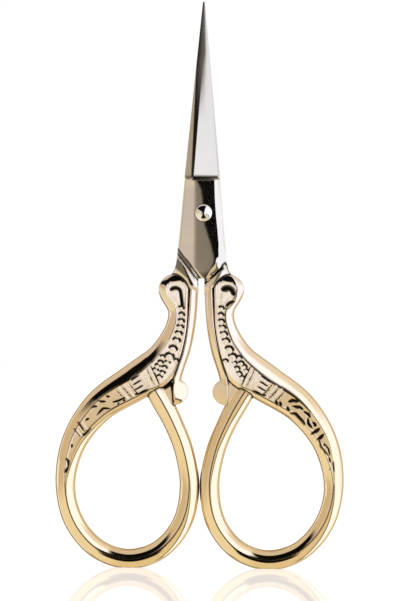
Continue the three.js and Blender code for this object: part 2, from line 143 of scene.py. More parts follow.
def catmull(points: np.ndarray, places: np.ndarray) -> tuple[np.ndarray, np.ndarray]:
    """Centripetal curve through points.

    Args:
        points: One point in each row.
        places: Where to read the curve, in spans from the first point.

    Returns:
        The positions and the derivatives at the places.
    """
    ends = np.vstack([2 * points[0] - points[1], points, 2 * points[-1] - points[-2]])
    span = np.clip(np.floor(places).astype(int), 0, len(points) - 2)
    t = (places - span)[:, None]
    p0, p1, p2, p3 = (ends[span + i] for i in range(4))

    def gap(a: np.ndarray, b: np.ndarray) -> np.ndarray:
        """Square root of the distance between points.

        Args:
            a: Points.
            b: As many points.

        Returns:
            One value in each row.
        """
        return np.maximum(np.sum((a - b) ** 2, axis=1) ** 0.25, 1e-4)[:, None]

    d0, d1, d2 = gap(p0, p1), gap(p1, p2), gap(p2, p3)
    m1 = ((p1 - p0) / d0 - (p2 - p0) / (d0 + d1) + (p2 - p1) / d1) * d1
    m2 = ((p2 - p1) / d1 - (p3 - p1) / (d1 + d2) + (p3 - p2) / d2) * d1
    c2 = -3 * p1 + 3 * p2 - 2 * m1 - m2
    c3 = 2 * p1 - 2 * p2 + m1 + m2
    return p1 + m1 * t + c2 * t**2 + c3 * t**3, m1 + 2 * c2 * t + 3 * c3 * t**2


def to_line(across: np.ndarray, along: np.ndarray, line: Sequence[Point]) -> tuple[np.ndarray, np.ndarray]:
    """Distance from points to a drawn line, and how far along the line the nearest spot is.

    Args:
        across: First coordinate of the points.
        along: Second coordinate of the points.
        line: Corners of the line.

    Returns:
        The distances, and shares of the line from 0 to 1.
    """
    best = np.full(across.shape, np.inf)
    share = np.zeros(across.shape)
    for i, (a, b) in enumerate(zip(line, line[1:])):
        run = np.array(b) - np.array(a)
        t = ((across - a[0]) * run[0] + (along - a[1]) * run[1]) / max(float(run @ run), 1e-9)
        t = np.clip(t, 0.0, 1.0)
        distance = np.hypot(across - a[0] - t * run[0], along - a[1] - t * run[1])
        nearer = distance < best
        best = np.where(nearer, distance, best)
        share = np.where(nearer, (i + t) / (len(line) - 1), share)
    return best, share


def lookup(points: np.ndarray) -> KDTree:
    """A tree that finds the nearest of some points.

    Args:
        points: One point in each row.

    Returns:
        The balanced tree.
    """
    tree = KDTree(len(points))
    for i, point in enumerate(points):
        tree.insert(point, i)
    tree.balance()
    return tree


def new_object(name: str, data: bpy.types.ID) -> bpy.types.Object:
    """A new object in the scene.

    Args:
        name: Its name.
        data: Its mesh, lamp or camera.

    Returns:
        The object.
    """
    thing = bpy.data.objects.new(name, data)
    bpy.context.scene.collection.objects.link(thing)
    return thing


def plain_mesh(thing: bpy.types.Object) -> bpy.types.Mesh:
    """Turns what an object's modifiers make into its own mesh, and removes the modifiers.

    Args:
        thing: The object.

    Returns:
        The mesh.
    """
    shape = thing.evaluated_get(bpy.context.evaluated_depsgraph_get())
    mesh = bpy.data.meshes.new_from_object(shape)
    thing.modifiers.clear()
    thing.data = mesh
    return mesh


def finish_mesh(mesh: bpy.types.Mesh, painted_shade_and_matt: np.ndarray, half_turn: bool, sharp: float) -> None:
    """Stores the painted shade of a mesh, turns it if asked and smooths it.

    Args:
        mesh: The mesh.
        painted_shade_and_matt: Painted shade of each point, below 0 for matt ground.
        half_turn: Whether the mesh is turned half round the long axis.
        sharp: Angle in degrees from which an edge stays sharp.
    """
    # Painted shade and painted dark reflections are stored on each point, with matt ground below 0.
    layer = mesh.attributes.new("painted_shade_and_matt", "FLOAT", "POINT")
    layer.data.foreach_set("value", painted_shade_and_matt.astype(np.float32))
    if half_turn:
        mesh.transform(Matrix.Rotation(math.pi, 4, "Z"))
    mesh.shade_smooth()
    mesh.set_sharp_from_angle(angle=math.radians(sharp))


def dress(
    piece: bpy.types.Object, name: str, body: str, finish: bpy.types.Material, slot: Plating, *nodes: str
) -> bpy.types.Object:
    """Names a finished piece, gives it its material and sets it on its body.

    Args:
        piece: The object.
        name: Its name.
        body: The body that it moves with.
        finish: Its material.
        slot: The record's slot for its finish; not used.
        nodes: CAD nodes that it stands for.

    Returns:
        The piece.
    """
    piece.name = name
    piece.data.materials.clear()
    piece.data.materials.append(finish)
    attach(piece, body)
    if nodes:
        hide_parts(*nodes)
    return piece


class Solid:
    """A closed body under construction, with a painted shade value at each point for its recesses and other
    dark places.
    """

    same_point: float = 2e-4
    fine_edge: float = 0.75
    valley: float = 0.22
    valley_core: float = 1.6
    pole: float = 89.0

    def __init__(self, name: str, points: np.ndarray, faces: list[Face]) -> None:
        """Makes the body's mesh.

        Args:
            name: Name of the object.
            points: Corners in millimetres.
            faces: Corner numbers of each face, in either winding as long as it is the same for all.
        """
        self.points = points
        self.dark = np.zeros(len(points))
        if self.volume(points, faces) < 0:
            faces = [tuple(reversed(f)) for f in faces]
        mesh = bpy.data.meshes.new(name)
        mesh.from_pydata((points * MM).tolist(), [], faces)
        mesh.update()
        self.thing = new_object(name, mesh)

    @staticmethod
    def volume(points: np.ndarray, faces: list[Face]) -> float:
        """Six times the enclosed volume, negative when the faces point inwards.

        Args:
            points: Corners of the body.
            faces: Corner numbers of each face.

        Returns:
            The volume, six times over.
        """
        corners = np.array([(f[0], f[i], f[i + 1]) for f in faces for i in range(1, len(f) - 1)])
        a, b, c = (points[corners[:, i]] for i in range(3))
        return float(np.sum(a * np.cross(b, c)))

    @classmethod
    def loft(cls, name: str, rings: np.ndarray, dark: Optional[np.ndarray] = None) -> "Solid":
        """A body through closed rings of points, with a fan at each end.

        Args:
            name: Name of the object.
            rings: Array of rings by points by coordinates.
            dark: Painted shade of each point of the rings.

        Returns:
            The closed body.
        """
        count, size = rings.shape[:2]
        points = np.vstack([rings.reshape(-1, 3), rings[0].mean(0), rings[-1].mean(0)])
        faces: list[Face] = []
        for i in range(count - 1):
            for j in range(size):
                a, b = i * size + j, i * size + (j + 1) % size
                faces.append((a, b, b + size, a + size))
        last = (count - 1) * size
        for j in range(size):
            k = (j + 1) % size
            faces.append((k, j, count * size))
            faces.append((last + j, last + k, count * size + 1))
        body = cls(name, points, faces)
        if dark is not None:
            body.dark[: count * size] = dark.ravel()
        return body

    @classmethod
    def plate(cls, name: str, outline: list[Point], front: float, back: float) -> "Solid":
        """A plate with an outline in X and Z between two depths.

        Args:
            name: Name of the object.
            outline: Corners of the plate in order.
            front: Lower Y.
            back: Upper Y.

        Returns:
            The closed body.
        """
        size = len(outline)
        points = np.array([(x, y, z) for y in (front, back) for x, z in outline])
        faces: list[Face] = [tuple(reversed(range(size)))]
        for j in range(size):
            k = (j + 1) % size
            faces.append((j, k, k + size, j + size))
        faces.append(tuple(range(size, 2 * size)))
        return cls(name, points, faces)

    @classmethod
    def ball(
        cls, name: str, centre: np.ndarray, before: Size, after: Size, segments: int, flat: float, lean: float
    ) -> "Solid":
        """A ball with its poles at the top and the bottom, stretched on each side of its centre.

        Args:
            name: Name of the object.
            centre: Its centre.
            before: Reach from the centre towards lower X, Y and Z.
            after: Reach towards higher X, Y and Z.
            segments: Facets round the ball.
            flat: Power that flattens its two faces, 1 for a round ball.
            lean: Share of the depth that is lost towards lower X.

        Returns:
            The closed body.
        """
        rise = np.radians(np.linspace(-cls.pole, cls.pole, segments // 2))[:, None]
        turn = np.linspace(0, 2 * math.pi, segments, endpoint=False)
        x, y = np.cos(rise) * np.cos(turn), np.cos(rise) * np.sin(turn)
        y = np.sign(y) * np.abs(y) ** flat * (1 + lean * np.minimum(x, 0))
        unit = np.stack([x, y, np.repeat(np.sin(rise), segments, 1)], 2)
        return cls.loft(name, centre + unit * np.where(unit > 0, after, before))

    @classmethod
    def lathe(cls, name: str, profile: list[Point], x: float, z: float, segments: int) -> "Solid":
        """A turned body about an axis along Y.

        Args:
            name: Name of the object.
            profile: Radius and Y of each ring, without the two ends on the axis.
            x: Place of the axis.
            z: Place of the axis.
            segments: Facets round the axis.

        Returns:
            The closed body.
        """
        turn = np.linspace(0, 2 * math.pi, segments, endpoint=False)
        across, up, level = np.cos(turn), np.sin(turn), np.ones(segments)
        rings = [np.stack([x + r * across, y * level, z + r * up], 1) for r, y in profile]
        return cls.loft(name, np.array(rings))

    def combine(self, others: list["Solid"], how: Join, crease: float = 0.0) -> None:
        """Joins or cuts this body with others, and paints shade along the lines where they meet.

        Args:
            others: Bodies that are used up.
            how: Whether they are added or cut away.
            crease: Painted shade of the new points along the meeting lines.
        """
        known = lookup(np.vstack([self.points] + [o.points for o in others]))
        dark = np.concatenate([self.dark] + [o.dark for o in others])
        for other in others:
            step = self.thing.modifiers.new(other.thing.name, "BOOLEAN")
            step.operation = how.value
            step.solver = "MANIFOLD"
            step.object = other.thing
        mesh = plain_mesh(self.thing)
        for other in others:
            bpy.data.objects.remove(other.thing)
        flat = np.empty(len(mesh.vertices) * 3)
        mesh.vertices.foreach_get("co", flat)
        self.points = flat.reshape(-1, 3) / MM
        nearest = [known.find(p) for p in self.points]
        new = np.array([d > self.same_point for _, _, d in nearest])
        self.dark = np.where(new, 0.0, dark[[i for _, i, _ in nearest]])
        # Painted shade: new points between short edges form the meeting lines, and points near them are
        # darkened.
        valley = np.flatnonzero(new & (self.longest_edges() < self.fine_edge))
        if crease > 0 and len(valley):
            lines = lookup(self.points[valley])
            near = np.array([lines.find(p)[2] for p in self.points])
            line = crease * smooth(self.valley_core - near / self.valley)
            self.dark = self.dark * (1.0 - line) + np.maximum(self.dark, 1.0) * line

    def longest_edges(self) -> np.ndarray:
        """Length of the longest edge at each point.

        Returns:
            The lengths in millimetres.
        """
        edges = self.thing.data.edges
        pairs = np.empty(len(edges) * 2, dtype=int)
        edges.foreach_get("vertices", pairs)
        ends = self.points[pairs.reshape(-1, 2)]
        spans = np.linalg.norm(ends[:, 0] - ends[:, 1], axis=1)
        longest = np.zeros(len(self.points))
        np.maximum.at(longest, pairs, np.repeat(spans, 2))
        return longest

    def copy(self, name: str) -> "Solid":
        """Another body with the same shape.

        Args:
            name: Name of the new object.

        Returns:
            The body.
        """
        twin = object.__new__(Solid)
        twin.points, twin.dark = self.points.copy(), self.dark.copy()
        twin.thing = new_object(name, self.thing.data.copy())
        return twin

    def finish(self, name: str, half_turn: bool, sharp: float) -> bpy.types.Object:
        """Ends the construction.

        Args:
            name: Name of the mesh.
            half_turn: Whether the body is turned half round the long axis.
            sharp: Angle in degrees from which an edge stays sharp.

        Returns:
            The object.
        """
        self.thing.data.name = name
        finish_mesh(self.thing.data, self.dark, half_turn, sharp)
        return self.thing


class Signal:
    """A shader value with arithmetic: each operation adds a Math node."""

    def __init__(self, graph: "Graph", socket: bpy.types.NodeSocket) -> None:
        """Wraps a socket of a graph."""
        self.graph, self.socket = graph, socket

    def __add__(self, other: Value) -> "Signal":
        """Sum."""
        return self.graph.math("ADD", self, other)

    def __radd__(self, other: float) -> "Signal":
        """Sum with a number first."""
        return self.graph.math("ADD", other, self)

    def __sub__(self, other: Value) -> "Signal":
        """Difference."""
        return self.graph.math("SUBTRACT", self, other)

    def __rsub__(self, other: float) -> "Signal":
        """Difference from a number."""
        return self.graph.math("SUBTRACT", other, self)

    def __mul__(self, other: Value) -> "Signal":
        """Product."""
        return self.graph.math("MULTIPLY", self, other)

    def __rmul__(self, other: float) -> "Signal":
        """Product with a number first."""
        return self.graph.math("MULTIPLY", other, self)

    def __abs__(self) -> "Signal":
        """Size without sign."""
        return self.graph.math("ABSOLUTE", self)

    def most(self, other: Value) -> "Signal":
        """The larger of two values."""
        return self.graph.math("MAXIMUM", self, other)

    def step(self, start: float, end: float) -> "Signal":
        """Smooth step that is 0 at the start and 1 at the end, which may be the lower one.

        Args:
            start: Value where it is 0.
            end: Value where it is 1.

        Returns:
            The step.
        """
        span = {"From Min": min(start, end), "From Max": max(start, end), "To Min": 0.0, "To Max": 1.0}
        rise = self.graph.signal(
            "ShaderNodeMapRange", "Result", {"Value": self, **span}, interpolation_type="SMOOTHSTEP"
        )
        return rise if start < end else 1.0 - rise


class Graph:
    """A node tree that is filled node by node."""

    def __init__(self, tree: bpy.types.NodeTree) -> None:
        """Starts with an empty tree."""
        self.tree = tree
        tree.nodes.clear()

    def node(
        self, kind: str, inputs: Optional[dict[Union[str, int], Any]] = None, **settings: Any
    ) -> bpy.types.Node:
        """Adds a node.

        Args:
            kind: The node's type.
            inputs: Values, sockets or signals by the socket's name or number.
            settings: Properties, or the stops of a colour ramp, which are set first.

        Returns:
            The node.
        """
        node = self.tree.nodes.new(kind)
        for name, value in settings.items():
            if name == "stops":
                self.set_stops(node.color_ramp, value)
            else:
                setattr(node, name, value)
        for name, value in (inputs or {}).items():
            if isinstance(value, Signal):
                value = value.socket
            if isinstance(value, bpy.types.NodeSocket):
                self.tree.links.new(value, node.inputs[name])
            else:
                node.inputs[name].default_value = value
        return node

    def signal(
        self, kind: str, output: str, inputs: Optional[dict[Union[str, int], Any]] = None, **settings: Any
    ) -> Signal:
        """Adds a node and gives one of its outputs for arithmetic.

        Args:
            kind: The node's type.
            output: Name of the output.
            inputs: Values, sockets or signals by the socket's name or number.
            settings: Properties, which are set first.

        Returns:
            The output.
        """
        return Signal(self, self.node(kind, inputs, **settings).outputs[output])

    def math(self, operation: str, *values: Value) -> Signal:
        """A Math node on values.

        Args:
            operation: The node's operation.
            values: Inputs in order.

        Returns:
            The node's result.
        """
        return self.signal("ShaderNodeMath", "Value", dict(enumerate(values)), operation=operation)

    @staticmethod
    def set_stops(ramp: bpy.types.ColorRamp, stops: list[tuple[float, Rgb]]) -> None:
        """Fills a colour ramp.

        Args:
            ramp: A new ramp.
            stops: Places and colours in order.
        """
        while len(ramp.elements) < len(stops):
            ramp.elements.new(1.0)
        for element, (place, colour) in zip(ramp.elements, stops):
            element.position = place
            element.color = (*colour, 1.0)

    def mix(self, factor: Signal, a: Paint, b: Paint, blend: str = "MIX") -> bpy.types.NodeSocket:
        """A mix of two colours.

        Args:
            factor: Share of the second colour.
            a: First colour or socket.
            b: Second colour or socket.
            blend: The blend type.

        Returns:
            The colour.
        """
        a, b = ((*c, 1.0) if isinstance(c, tuple) else c for c in (a, b))
        node = self.node("ShaderNodeMix", {0: factor, 6: a, 7: b}, data_type="RGBA", blend_type=blend)
        return node.outputs[2]

    def surface(self, shader: bpy.types.Node, output: str = "ShaderNodeOutputMaterial") -> None:
        """Ends the tree with a shader."""
        self.node(output, {"Surface": shader.outputs[0]})


@dataclass(frozen=True)
class PlatedMetal:
    """Polished plating that turns from gold at the bows to nickel at the blade; its heights are in metres."""

    name: str
    gold: Rgb = (0.95, 0.81, 0.56)
    champagne: Rgb = (0.93, 0.82, 0.68)
    nickel: Rgb = (0.78, 0.75, 0.65)
    gold_end: float = 0.24
    champagne_at: float = 0.44
    nickel_start: float = 0.56
    ground: Rgb = (1.0, 0.96, 0.86)
    low_ground: Rgb = (0.80, 0.62, 0.36)
    ground_turn: Point = (0.0335, 0.039)
    grind_start: Point = (0.0776, 0.0784)
    # recess: the near-black that painted shade mixes into the base colour, in recesses, creases, grooves and
    # dark crescents.
    recess: Rgb = (0.012, 0.007, 0.004)
    haze_tint: Rgb = (0.80, 0.70, 0.58)
    haze_scale: float = 420.0
    haze_detail: float = 3.0
    haze_share: float = 0.06
    haze_rough: float = 0.03
    streak_tint: Rgb = (0.55, 0.52, 0.50)
    streak_scale: Size = (9000.0, 9000.0, 90.0)
    streak_detail: float = 2.0
    streak_share: float = 0.18
    scratch: float = 0.05
    scratch_height: float = 0.00002
    polish: float = 0.04
    satin: float = 0.24
    recess_rough: float = 0.25
    matt: float = 0.66
    matt_paint: float = 0.7

    def material(self) -> bpy.types.Material:
        """Builds the finish.

        Returns:
            The material.
        """
        material = bpy.data.materials.new(self.name)
        material.use_nodes = True
        graph = Graph(material.node_tree)
        place = graph.node("ShaderNodeTexCoord").outputs["Object"]
        up = graph.signal("ShaderNodeSeparateXYZ", "Z", {0: place})
        stops = [
            (0.0, self.gold),
            (self.gold_end, self.gold),
            (self.champagne_at, self.champagne),
            (self.nickel_start, self.nickel),
        ]
        height = up * (1.0 / CAD_BOX[1][2])
        colour = graph.node("ShaderNodeValToRGB", {"Fac": height}, stops=stops).outputs["Color"]
        along = graph.node("ShaderNodeMapping", {"Vector": place, "Scale": self.streak_scale}).outputs[0]
        streaks = {"Vector": along, "Scale": 1.0, "Detail": self.streak_detail}
        clouds = {"Vector": place, "Scale": self.haze_scale, "Detail": self.haze_detail}
        brushed, haze = (graph.signal("ShaderNodeTexNoise", "Fac", grain) for grain in (streaks, clouds))
        blade = up.step(*self.grind_start)
        # The attribute's positive part is painted shade and painted dark reflections, and its negative part
        # marks matt ground.
        painted_shade_and_matt = graph.signal("ShaderNodeAttribute", "Fac", attribute_name="painted_shade_and_matt")
        dark, matt = painted_shade_and_matt.most(0.0), (-1.0 * painted_shade_and_matt).most(0.0)
        toned = graph.mix(self.haze_share * haze, colour, self.haze_tint, "MULTIPLY")
        lined = graph.mix(blade * brushed * self.streak_share, toned, self.streak_tint, "MULTIPLY")
        pale = graph.mix(up.step(*self.ground_turn), self.low_ground, self.ground)
        # Painted shade: the base colour is mixed towards the near-black recess colour by the attribute's
        # positive part.
        shade = graph.mix(dark, graph.mix(matt, lined, pale), self.recess)
        polished = self.polish + self.haze_rough * haze + blade * (self.satin - self.polish)
        scratches = graph.node(
            "ShaderNodeBump",
            {"Strength": self.scratch, "Distance": self.scratch_height, "Height": brushed * blade},
        )
        metal = graph.node(
            "ShaderNodeBsdfPrincipled",
            {
                "Base Color": shade,
                "Metallic": 1.0 - self.matt_paint * matt,
                "Roughness": polished + dark * self.recess_rough + matt * self.matt,
                "Normal": scratches.outputs[0],
            },
        )
        graph.surface(metal)
        return material


@dataclass(frozen=True)
class Station:
    """One section of a strip: its centre, width, depth, two rims and the sunk panel between them."""

    x: float
    z: float
    width: float
    depth: float
    outer: float
    inner: float
    recess: float


@dataclass
class Sections:
    """A strip read at many places: one array entry for each place."""

    place: np.ndarray
    length: np.ndarray
    x: np.ndarray
    z: np.ndarray
    width: np.ndarray
    out_x: np.ndarray
    out_z: np.ndarray
    depth: np.ndarray
    outer: np.ndarray
    inner: np.ndarray
    recess: np.ndarray

    @property
    def middle(self) -> np.ndarray:
        """Offset of the panel's middle from the strip's."""
        return (self.inner - self.outer) / 2

    @property
    def half_panel(self) -> np.ndarray:
        """Half the width of the panel."""
        return (self.width - self.inner - self.outer) / 2


class Strip:
    """A smooth strip through stations."""

    fine_steps: int = 60

    def __init__(self, stations: list[Station]) -> None:
        """Measures the strip's length along its middle.

        Args:
            stations: Sections in order.
        """
        self.table = np.array([(s.x, s.width, s.z, s.depth, s.outer, s.inner, s.recess) for s in stations])
        self.fine = np.linspace(0, len(stations) - 1, self.fine_steps * len(stations))
        path = catmull(self.table[:, :3], self.fine)[0]
        steps = np.hypot(np.diff(path[:, 0]), np.diff(path[:, 2]))
        self.lengths = np.concatenate([[0.0], np.cumsum(steps)])

    def evenly(self, start: float, end: float, spacing: float) -> np.ndarray:
        """Places from start to end that lie evenly along the strip.

        Args:
            start: First place.
            end: Last place.
            spacing: Distance between places.

        Returns:
            The places.
        """
        low, high = np.interp([start, end], self.fine, self.lengths)
        count = max(2, int(round((high - low) / spacing)) + 1)
        return np.interp(np.linspace(low, high, count), self.lengths, self.fine)

    def at(self, places: np.ndarray) -> Sections:
        """Reads the strip.

        Args:
            places: Where, in spans from the first station.

        Returns:
            The sections.
        """
        centre, ahead = catmull(self.table[:, :3], places)
        pace = np.hypot(ahead[:, 0], ahead[:, 2])
        span = np.clip(np.floor(places).astype(int), 0, len(self.table) - 2)
        weight = smooth(places - span)[:, None]
        sizes = self.table[span, 3:] * (1 - weight) + self.table[span + 1, 3:] * weight
        length = np.interp(places, self.fine, self.lengths)
        out_x, out_z = -ahead[:, 2] / pace, ahead[:, 0] / pace
        return Sections(places, length, centre[:, 0], centre[:, 2], centre[:, 1], out_x, out_z, *sizes.T)


Carving = Callable[[Sections, np.ndarray, np.ndarray, Side], tuple[np.ndarray, np.ndarray]]


@dataclass
class FingerBow:
    """The oval ring for a finger."""

    ring_width: float = 4.0
    ring_depth: float = 3.3
    half_width: float = 12.4
    drop: float = 14.5
    lean: float = 0.45
    gap: float = 0.03
    foot_flat: float = 0.3
    crest_flat: float = 0.2

    @property
    def x(self) -> float:
        """Place of the ring's middle."""
        return self.gap / 2 + self.ring_width / 2 + self.half_width

    @property
    def z(self) -> float:
        """Height of the ring's middle."""
        return self.ring_width / 2 + self.drop - self.foot_flat

    @property
    def reach(self) -> float:
        """Outermost X of the ring."""
        return self.x + self.half_width + self.ring_width / 2

    def station(self, x: float, z: float, share: float = 1.0) -> Station:
        """A plain oval section of the ring, with a share of its width."""
        width = share * self.ring_width
        return Station(x, z, width, self.ring_depth, width / 2, width / 2, 0.0)

    def lower(self, degrees: float) -> Station:
        """A section on the lower half of the ring, at an angle from its outer side.

        Args:
            degrees: The angle, below 0 on the lower half.

        Returns:
            The section.
        """
        angle = math.radians(degrees)
        x = self.x + self.half_width * math.cos(angle) + self.lean * math.sin(angle)
        return self.station(x, self.z + self.drop * math.sin(angle))


@dataclass
class Handle:
    """The ornamented shank and wing, the bow, the plain inner band and the knob, in one sub-assembly."""

    bow: FingerBow = field(default_factory=FingerBow)
    crotch: float = 58.7
    depth: float = 3.3
    scroll_width: float = 6.2
    scroll_crown: float = 2.2
    crown_share: float = 0.24
    crown_power: float = 1.4
    crown_edge: float = 0.2
    panel_head: float = 1.4
    head_round: float = 1.2
    neck_width: float = 4.2
    wing_width: float = 8.4
    recess: float = 0.3
    full_recess: float = 0.1
    step: float = 0.35
    rim_slope: float = 0.2
    rim_round: float = 25.0
    rim_power: float = 1.3
    flat_end: float = 0.6
    flat_fade: float = 0.6
    rim_steps: int = 9
    panel_steps: int = 35
    relief: float = 0.36
    tip_lengths: tuple[float, ...] = (0.02, 0.06, 0.13, 0.22, 0.33, 0.45)
    carved_length: float = 0.58
    carved_end: float = 9.0
    carved_step: float = 0.15
    outer_end: float = 12.0
    inner_span: Point = (1.0, 7.76)
    plain_step: float = 0.4
    band_width: float = 1.75
    band_depth: float = 3.1
    band_crest: float = 0.35
    band_rings: int = 90
    band_facets: int = 48
    band_shade: float = 0.22
    band_fade: float = 0.6
    band_outside: float = -0.1
    shank_gap: float = 1.2
    knob: Point = (5.25, 35.25)
    knob_inner: Size = (2.85, 1.62, 2.65)
    knob_outer: Size = (0.3, 1.62, 2.65)
    knob_facets: int = 64
    knob_flat: float = 0.2
    knob_lean: float = 0.36
    knob_matt: float = 0.45
    knob_front: float = -0.3
    web_top: Line = ((5.0, 37.6), (7.2, 36.2), (9.8, 34.6))
    web_low: Line = ((5.2, 33.4), (6.5, 32.2), (8.2, 33.2))
    web_depth: float = 1.15
    web_lean: float = 0.12
    web_level: float = 2.0
    web_rings: int = 25
    web_facets: int = 17
    web_matt: float = 0.3
    web_shadow: float = 0.24
    web_shadow_fade: float = 0.12
    web_seam: float = 0.45
    web_seam_fade: float = 0.15
    web_taper: float = 0.12

    def panel(
        self, across: float, up: float, width: float, outer: float, inner: float, sunk: float = 1.0
    ) -> Station:
        """A section with a sunk panel, its centre in shares of the bow's reach and the crotch's height."""
        x, z = across * self.bow.reach, up * self.crotch
        return Station(x, z, width, self.depth, outer * width, inner * width, sunk * self.recess)

    def outer(self) -> Strip:
        """The strip from the scroll down the shank and the wing, and round the outer side of the bow.

        Returns:
            The strip.
        """
        wing, neck, scroll = self.wing_width, self.neck_width, self.scroll_width
        return Strip(
            [
                self.panel(0.2023, 1.0, scroll, 0.226, 0.097),
                self.panel(0.1867, 0.942, scroll, 0.242, 0.097),
                self.panel(0.159, 0.877, neck, 0.429, 0.143),
                self.panel(0.166, 0.8245, 1.07 * neck, 0.422, 0.133),
                self.panel(0.2144, 0.753, 0.714 * wing, 0.383, 0.117),
                self.panel(0.2949, 0.6838, 0.965 * wing, 0.325, 0.121),
                self.panel(0.4288, 0.639, 0.917 * wing, 0.377, 0.156),
                self.panel(0.7002, 0.5477, 0.774 * wing, 0.369, 0.215, 0.6),
                self.panel(0.8748, 0.4242, 0.607 * wing, 0.373, 0.333, 0.4),
                *[self.bow.lower(angle) for angle in (0, -30, -60, -90, -120)],
            ]
        )

    def inner(self) -> Strip:
        """The strip from the bottom of the bow up its inner side, into the wing behind the knob.

        Returns:
            The strip.
        """
        reach = self.bow.reach
        return Strip(
            [
                *[self.bow.lower(angle) for angle in (-60, -90, -120, -150, -180)],
                self.bow.station(0.1106 * reach, 0.4003 * self.crotch, 0.975),
                self.bow.station(0.1833 * reach, 0.4906 * self.crotch, 0.975),
                self.bow.station(0.2559 * reach, 0.5588 * self.crotch, 1.05),
                self.bow.station(0.332 * reach, 0.62 * self.crotch),
            ]
        )

    def skin(
        self, at: Sections, shares: tuple[np.ndarray, ...], carving: Optional[Carving], panel: int
    ) -> tuple[np.ndarray, np.ndarray]:
        """Rings of points round a strip: rounded rims with a sunk panel between them, on both faces.

        Args:
            at: Sections of the strip.
            shares: Shares of the width and of the depth at each section, how flat its outer rim slopes,
                and its distance below the head of the panel.
            carving: Height and painted shade of each face's carving.
            panel: Points across the panel.

        Returns:
            The rings, and the painted shade of their points, below 0 for matt ground.
        """
        width_share, depth_share, flat, head = (share[:, None] for share in shares)
        half = at.width[:, None] * width_share / 2
        depth = at.depth[:, None] * depth_share / 2
        room = 2 * half - np.minimum(self.bow.crest_flat, half / 2)
        squeeze = np.minimum(1.0, room / (at.outer + at.inner)[:, None])
        outer, inner = at.outer[:, None] * squeeze, at.inner[:, None] * squeeze
        width = 2 * half - outer - inner
        step = np.minimum(self.step, width / 3)
        bend = np.linspace(0, math.pi / 2, self.rim_steps + 1)[None, :]
        u = np.linspace(0, 1, panel + 2)[None, 1:-1]
        border = np.minimum(np.minimum(u, 1 - u) * width, head - self.head_round * (2 * u - 1) ** 4)
        fall = smooth(border / step)
        sunk = at.recess[:, None] * depth_share
        slope = 1.0 - self.rim_slope * np.cos(bend) ** self.rim_power
        slope = slope * round_rise(bend, math.radians(self.rim_round))
        outer_rise = depth * (np.sin(bend) * (1.0 - flat) + slope * flat)
        across = np.hstack(
            [
                half - outer + outer * np.cos(bend),
                (half - outer) * (1 - u) + (inner - half) * u,
                (inner - half - inner * np.cos(bend))[:, ::-1],
            ]
        )
        rise = np.hstack([outer_rise, depth - sunk * fall, (depth * np.sin(bend))[:, ::-1]])
        floor = np.zeros(across.shape)
        first = self.rim_steps + 1
        floor[:, first : first + panel] = fall * np.minimum(sunk / self.full_recess, 1.0)
        x = at.x[:, None] + at.out_x[:, None] * across
        z = np.maximum(at.z[:, None] + at.out_z[:, None] * across, 0.0)
        skins, shades = [], []
        for side in Side:
            height, dark = (0.0, floor) if carving is None else carving(at, across, floor, side)
            skins.append(np.stack([x, side.value * np.maximum(rise + height, 0.0), z], 2))
            shades.append(dark)
        skins[1], shades[1] = skins[1][:, -2:0:-1], shades[1][:, -2:0:-1]
        return np.concatenate(skins, 1), np.concatenate(shades, 1)

    def outer_body(self, carving: Carving) -> Solid:
        """The scroll, shank, wing and outer half of the bow as one carved body.

        Args:
            carving: Height and painted shade of each face's carving.

        Returns:
            The closed body.
        """
        strip = self.outer()
        lengths = np.array([*self.tip_lengths, self.carved_length])
        lengths += np.interp(0.0, strip.fine, strip.lengths)
        *tip, start = np.interp(lengths, strip.lengths, strip.fine)
        carved = strip.evenly(float(start), self.carved_end, self.carved_step)
        plain = strip.evenly(self.carved_end, self.outer_end, self.plain_step)
        places = np.concatenate([tip, carved, plain[1:]])
        drop = places * (strip.table[0, 2] - strip.table[1, 2])
        width = round_rise(drop, self.scroll_width / 2)
        slope = 1.0 - (1.0 - np.minimum(drop / self.scroll_crown, 1.0)) ** self.crown_power
        depth = (1.0 - self.crown_share) * round_rise(drop, self.crown_edge) + self.crown_share * slope
        flat = 1.0 - smooth((places - self.flat_end) / self.flat_fade)
        shares = (width, depth, flat, drop - self.panel_head)
        return Solid.loft("shank", *self.skin(strip.at(places), shares, carving, self.panel_steps))

    def inner_body(self) -> Solid:
        """The inner half of the bow.

        Returns:
            The closed body.
        """
        strip = self.inner()
        at = strip.at(strip.evenly(*self.inner_span, self.plain_step))
        full = np.ones(len(at.place))
        return Solid.loft("inner_limb", *self.skin(at, (full, full, 0.0 * full, BEYOND * full), None, 3))

    def band_path(self) -> np.ndarray:
        """Centres of the plain band, from the collar down to the knob.

        Returns:
            One centre in each row.
        """
        top = (self.shank_gap + self.band_width) / 2
        shares = [
            (top, 0.985),
            (1.03 * top, 0.932),
            (1.2 * top, 0.857),
            (1.56 * top, 0.79),
            (2.03 * top, 0.736),
            (2.64 * top, 0.69),
            (3.15 * top, 0.644),
            (0.1625 * self.bow.reach, 0.6),
        ]
        return np.array([(x, 0.0, up * self.crotch) for x, up in shares])

    def band_body(self) -> Solid:
        """The plain rounded band, with painted shade on its outer front side where it runs behind the knob's
        front.

        Returns:
            The closed body.
        """
        path = self.band_path()
        centre, ahead = catmull(path, np.linspace(0, len(path) - 1, self.band_rings))
        ahead /= np.linalg.norm(ahead, axis=1)[:, None]
        turn = np.linspace(0, 2 * math.pi, self.band_facets, endpoint=False)
        crest = self.band_crest - self.band_width / 2
        inner, outer = self.band_width - self.band_crest, self.band_crest
        across = -crest - np.where(np.cos(turn) > 0, inner, outer) * np.cos(turn)
        rise = self.band_depth / 2 * np.sin(turn)
        x = centre[:, :1] - ahead[:, 2:] * across
        z = centre[:, 2:] + ahead[:, :1] * across
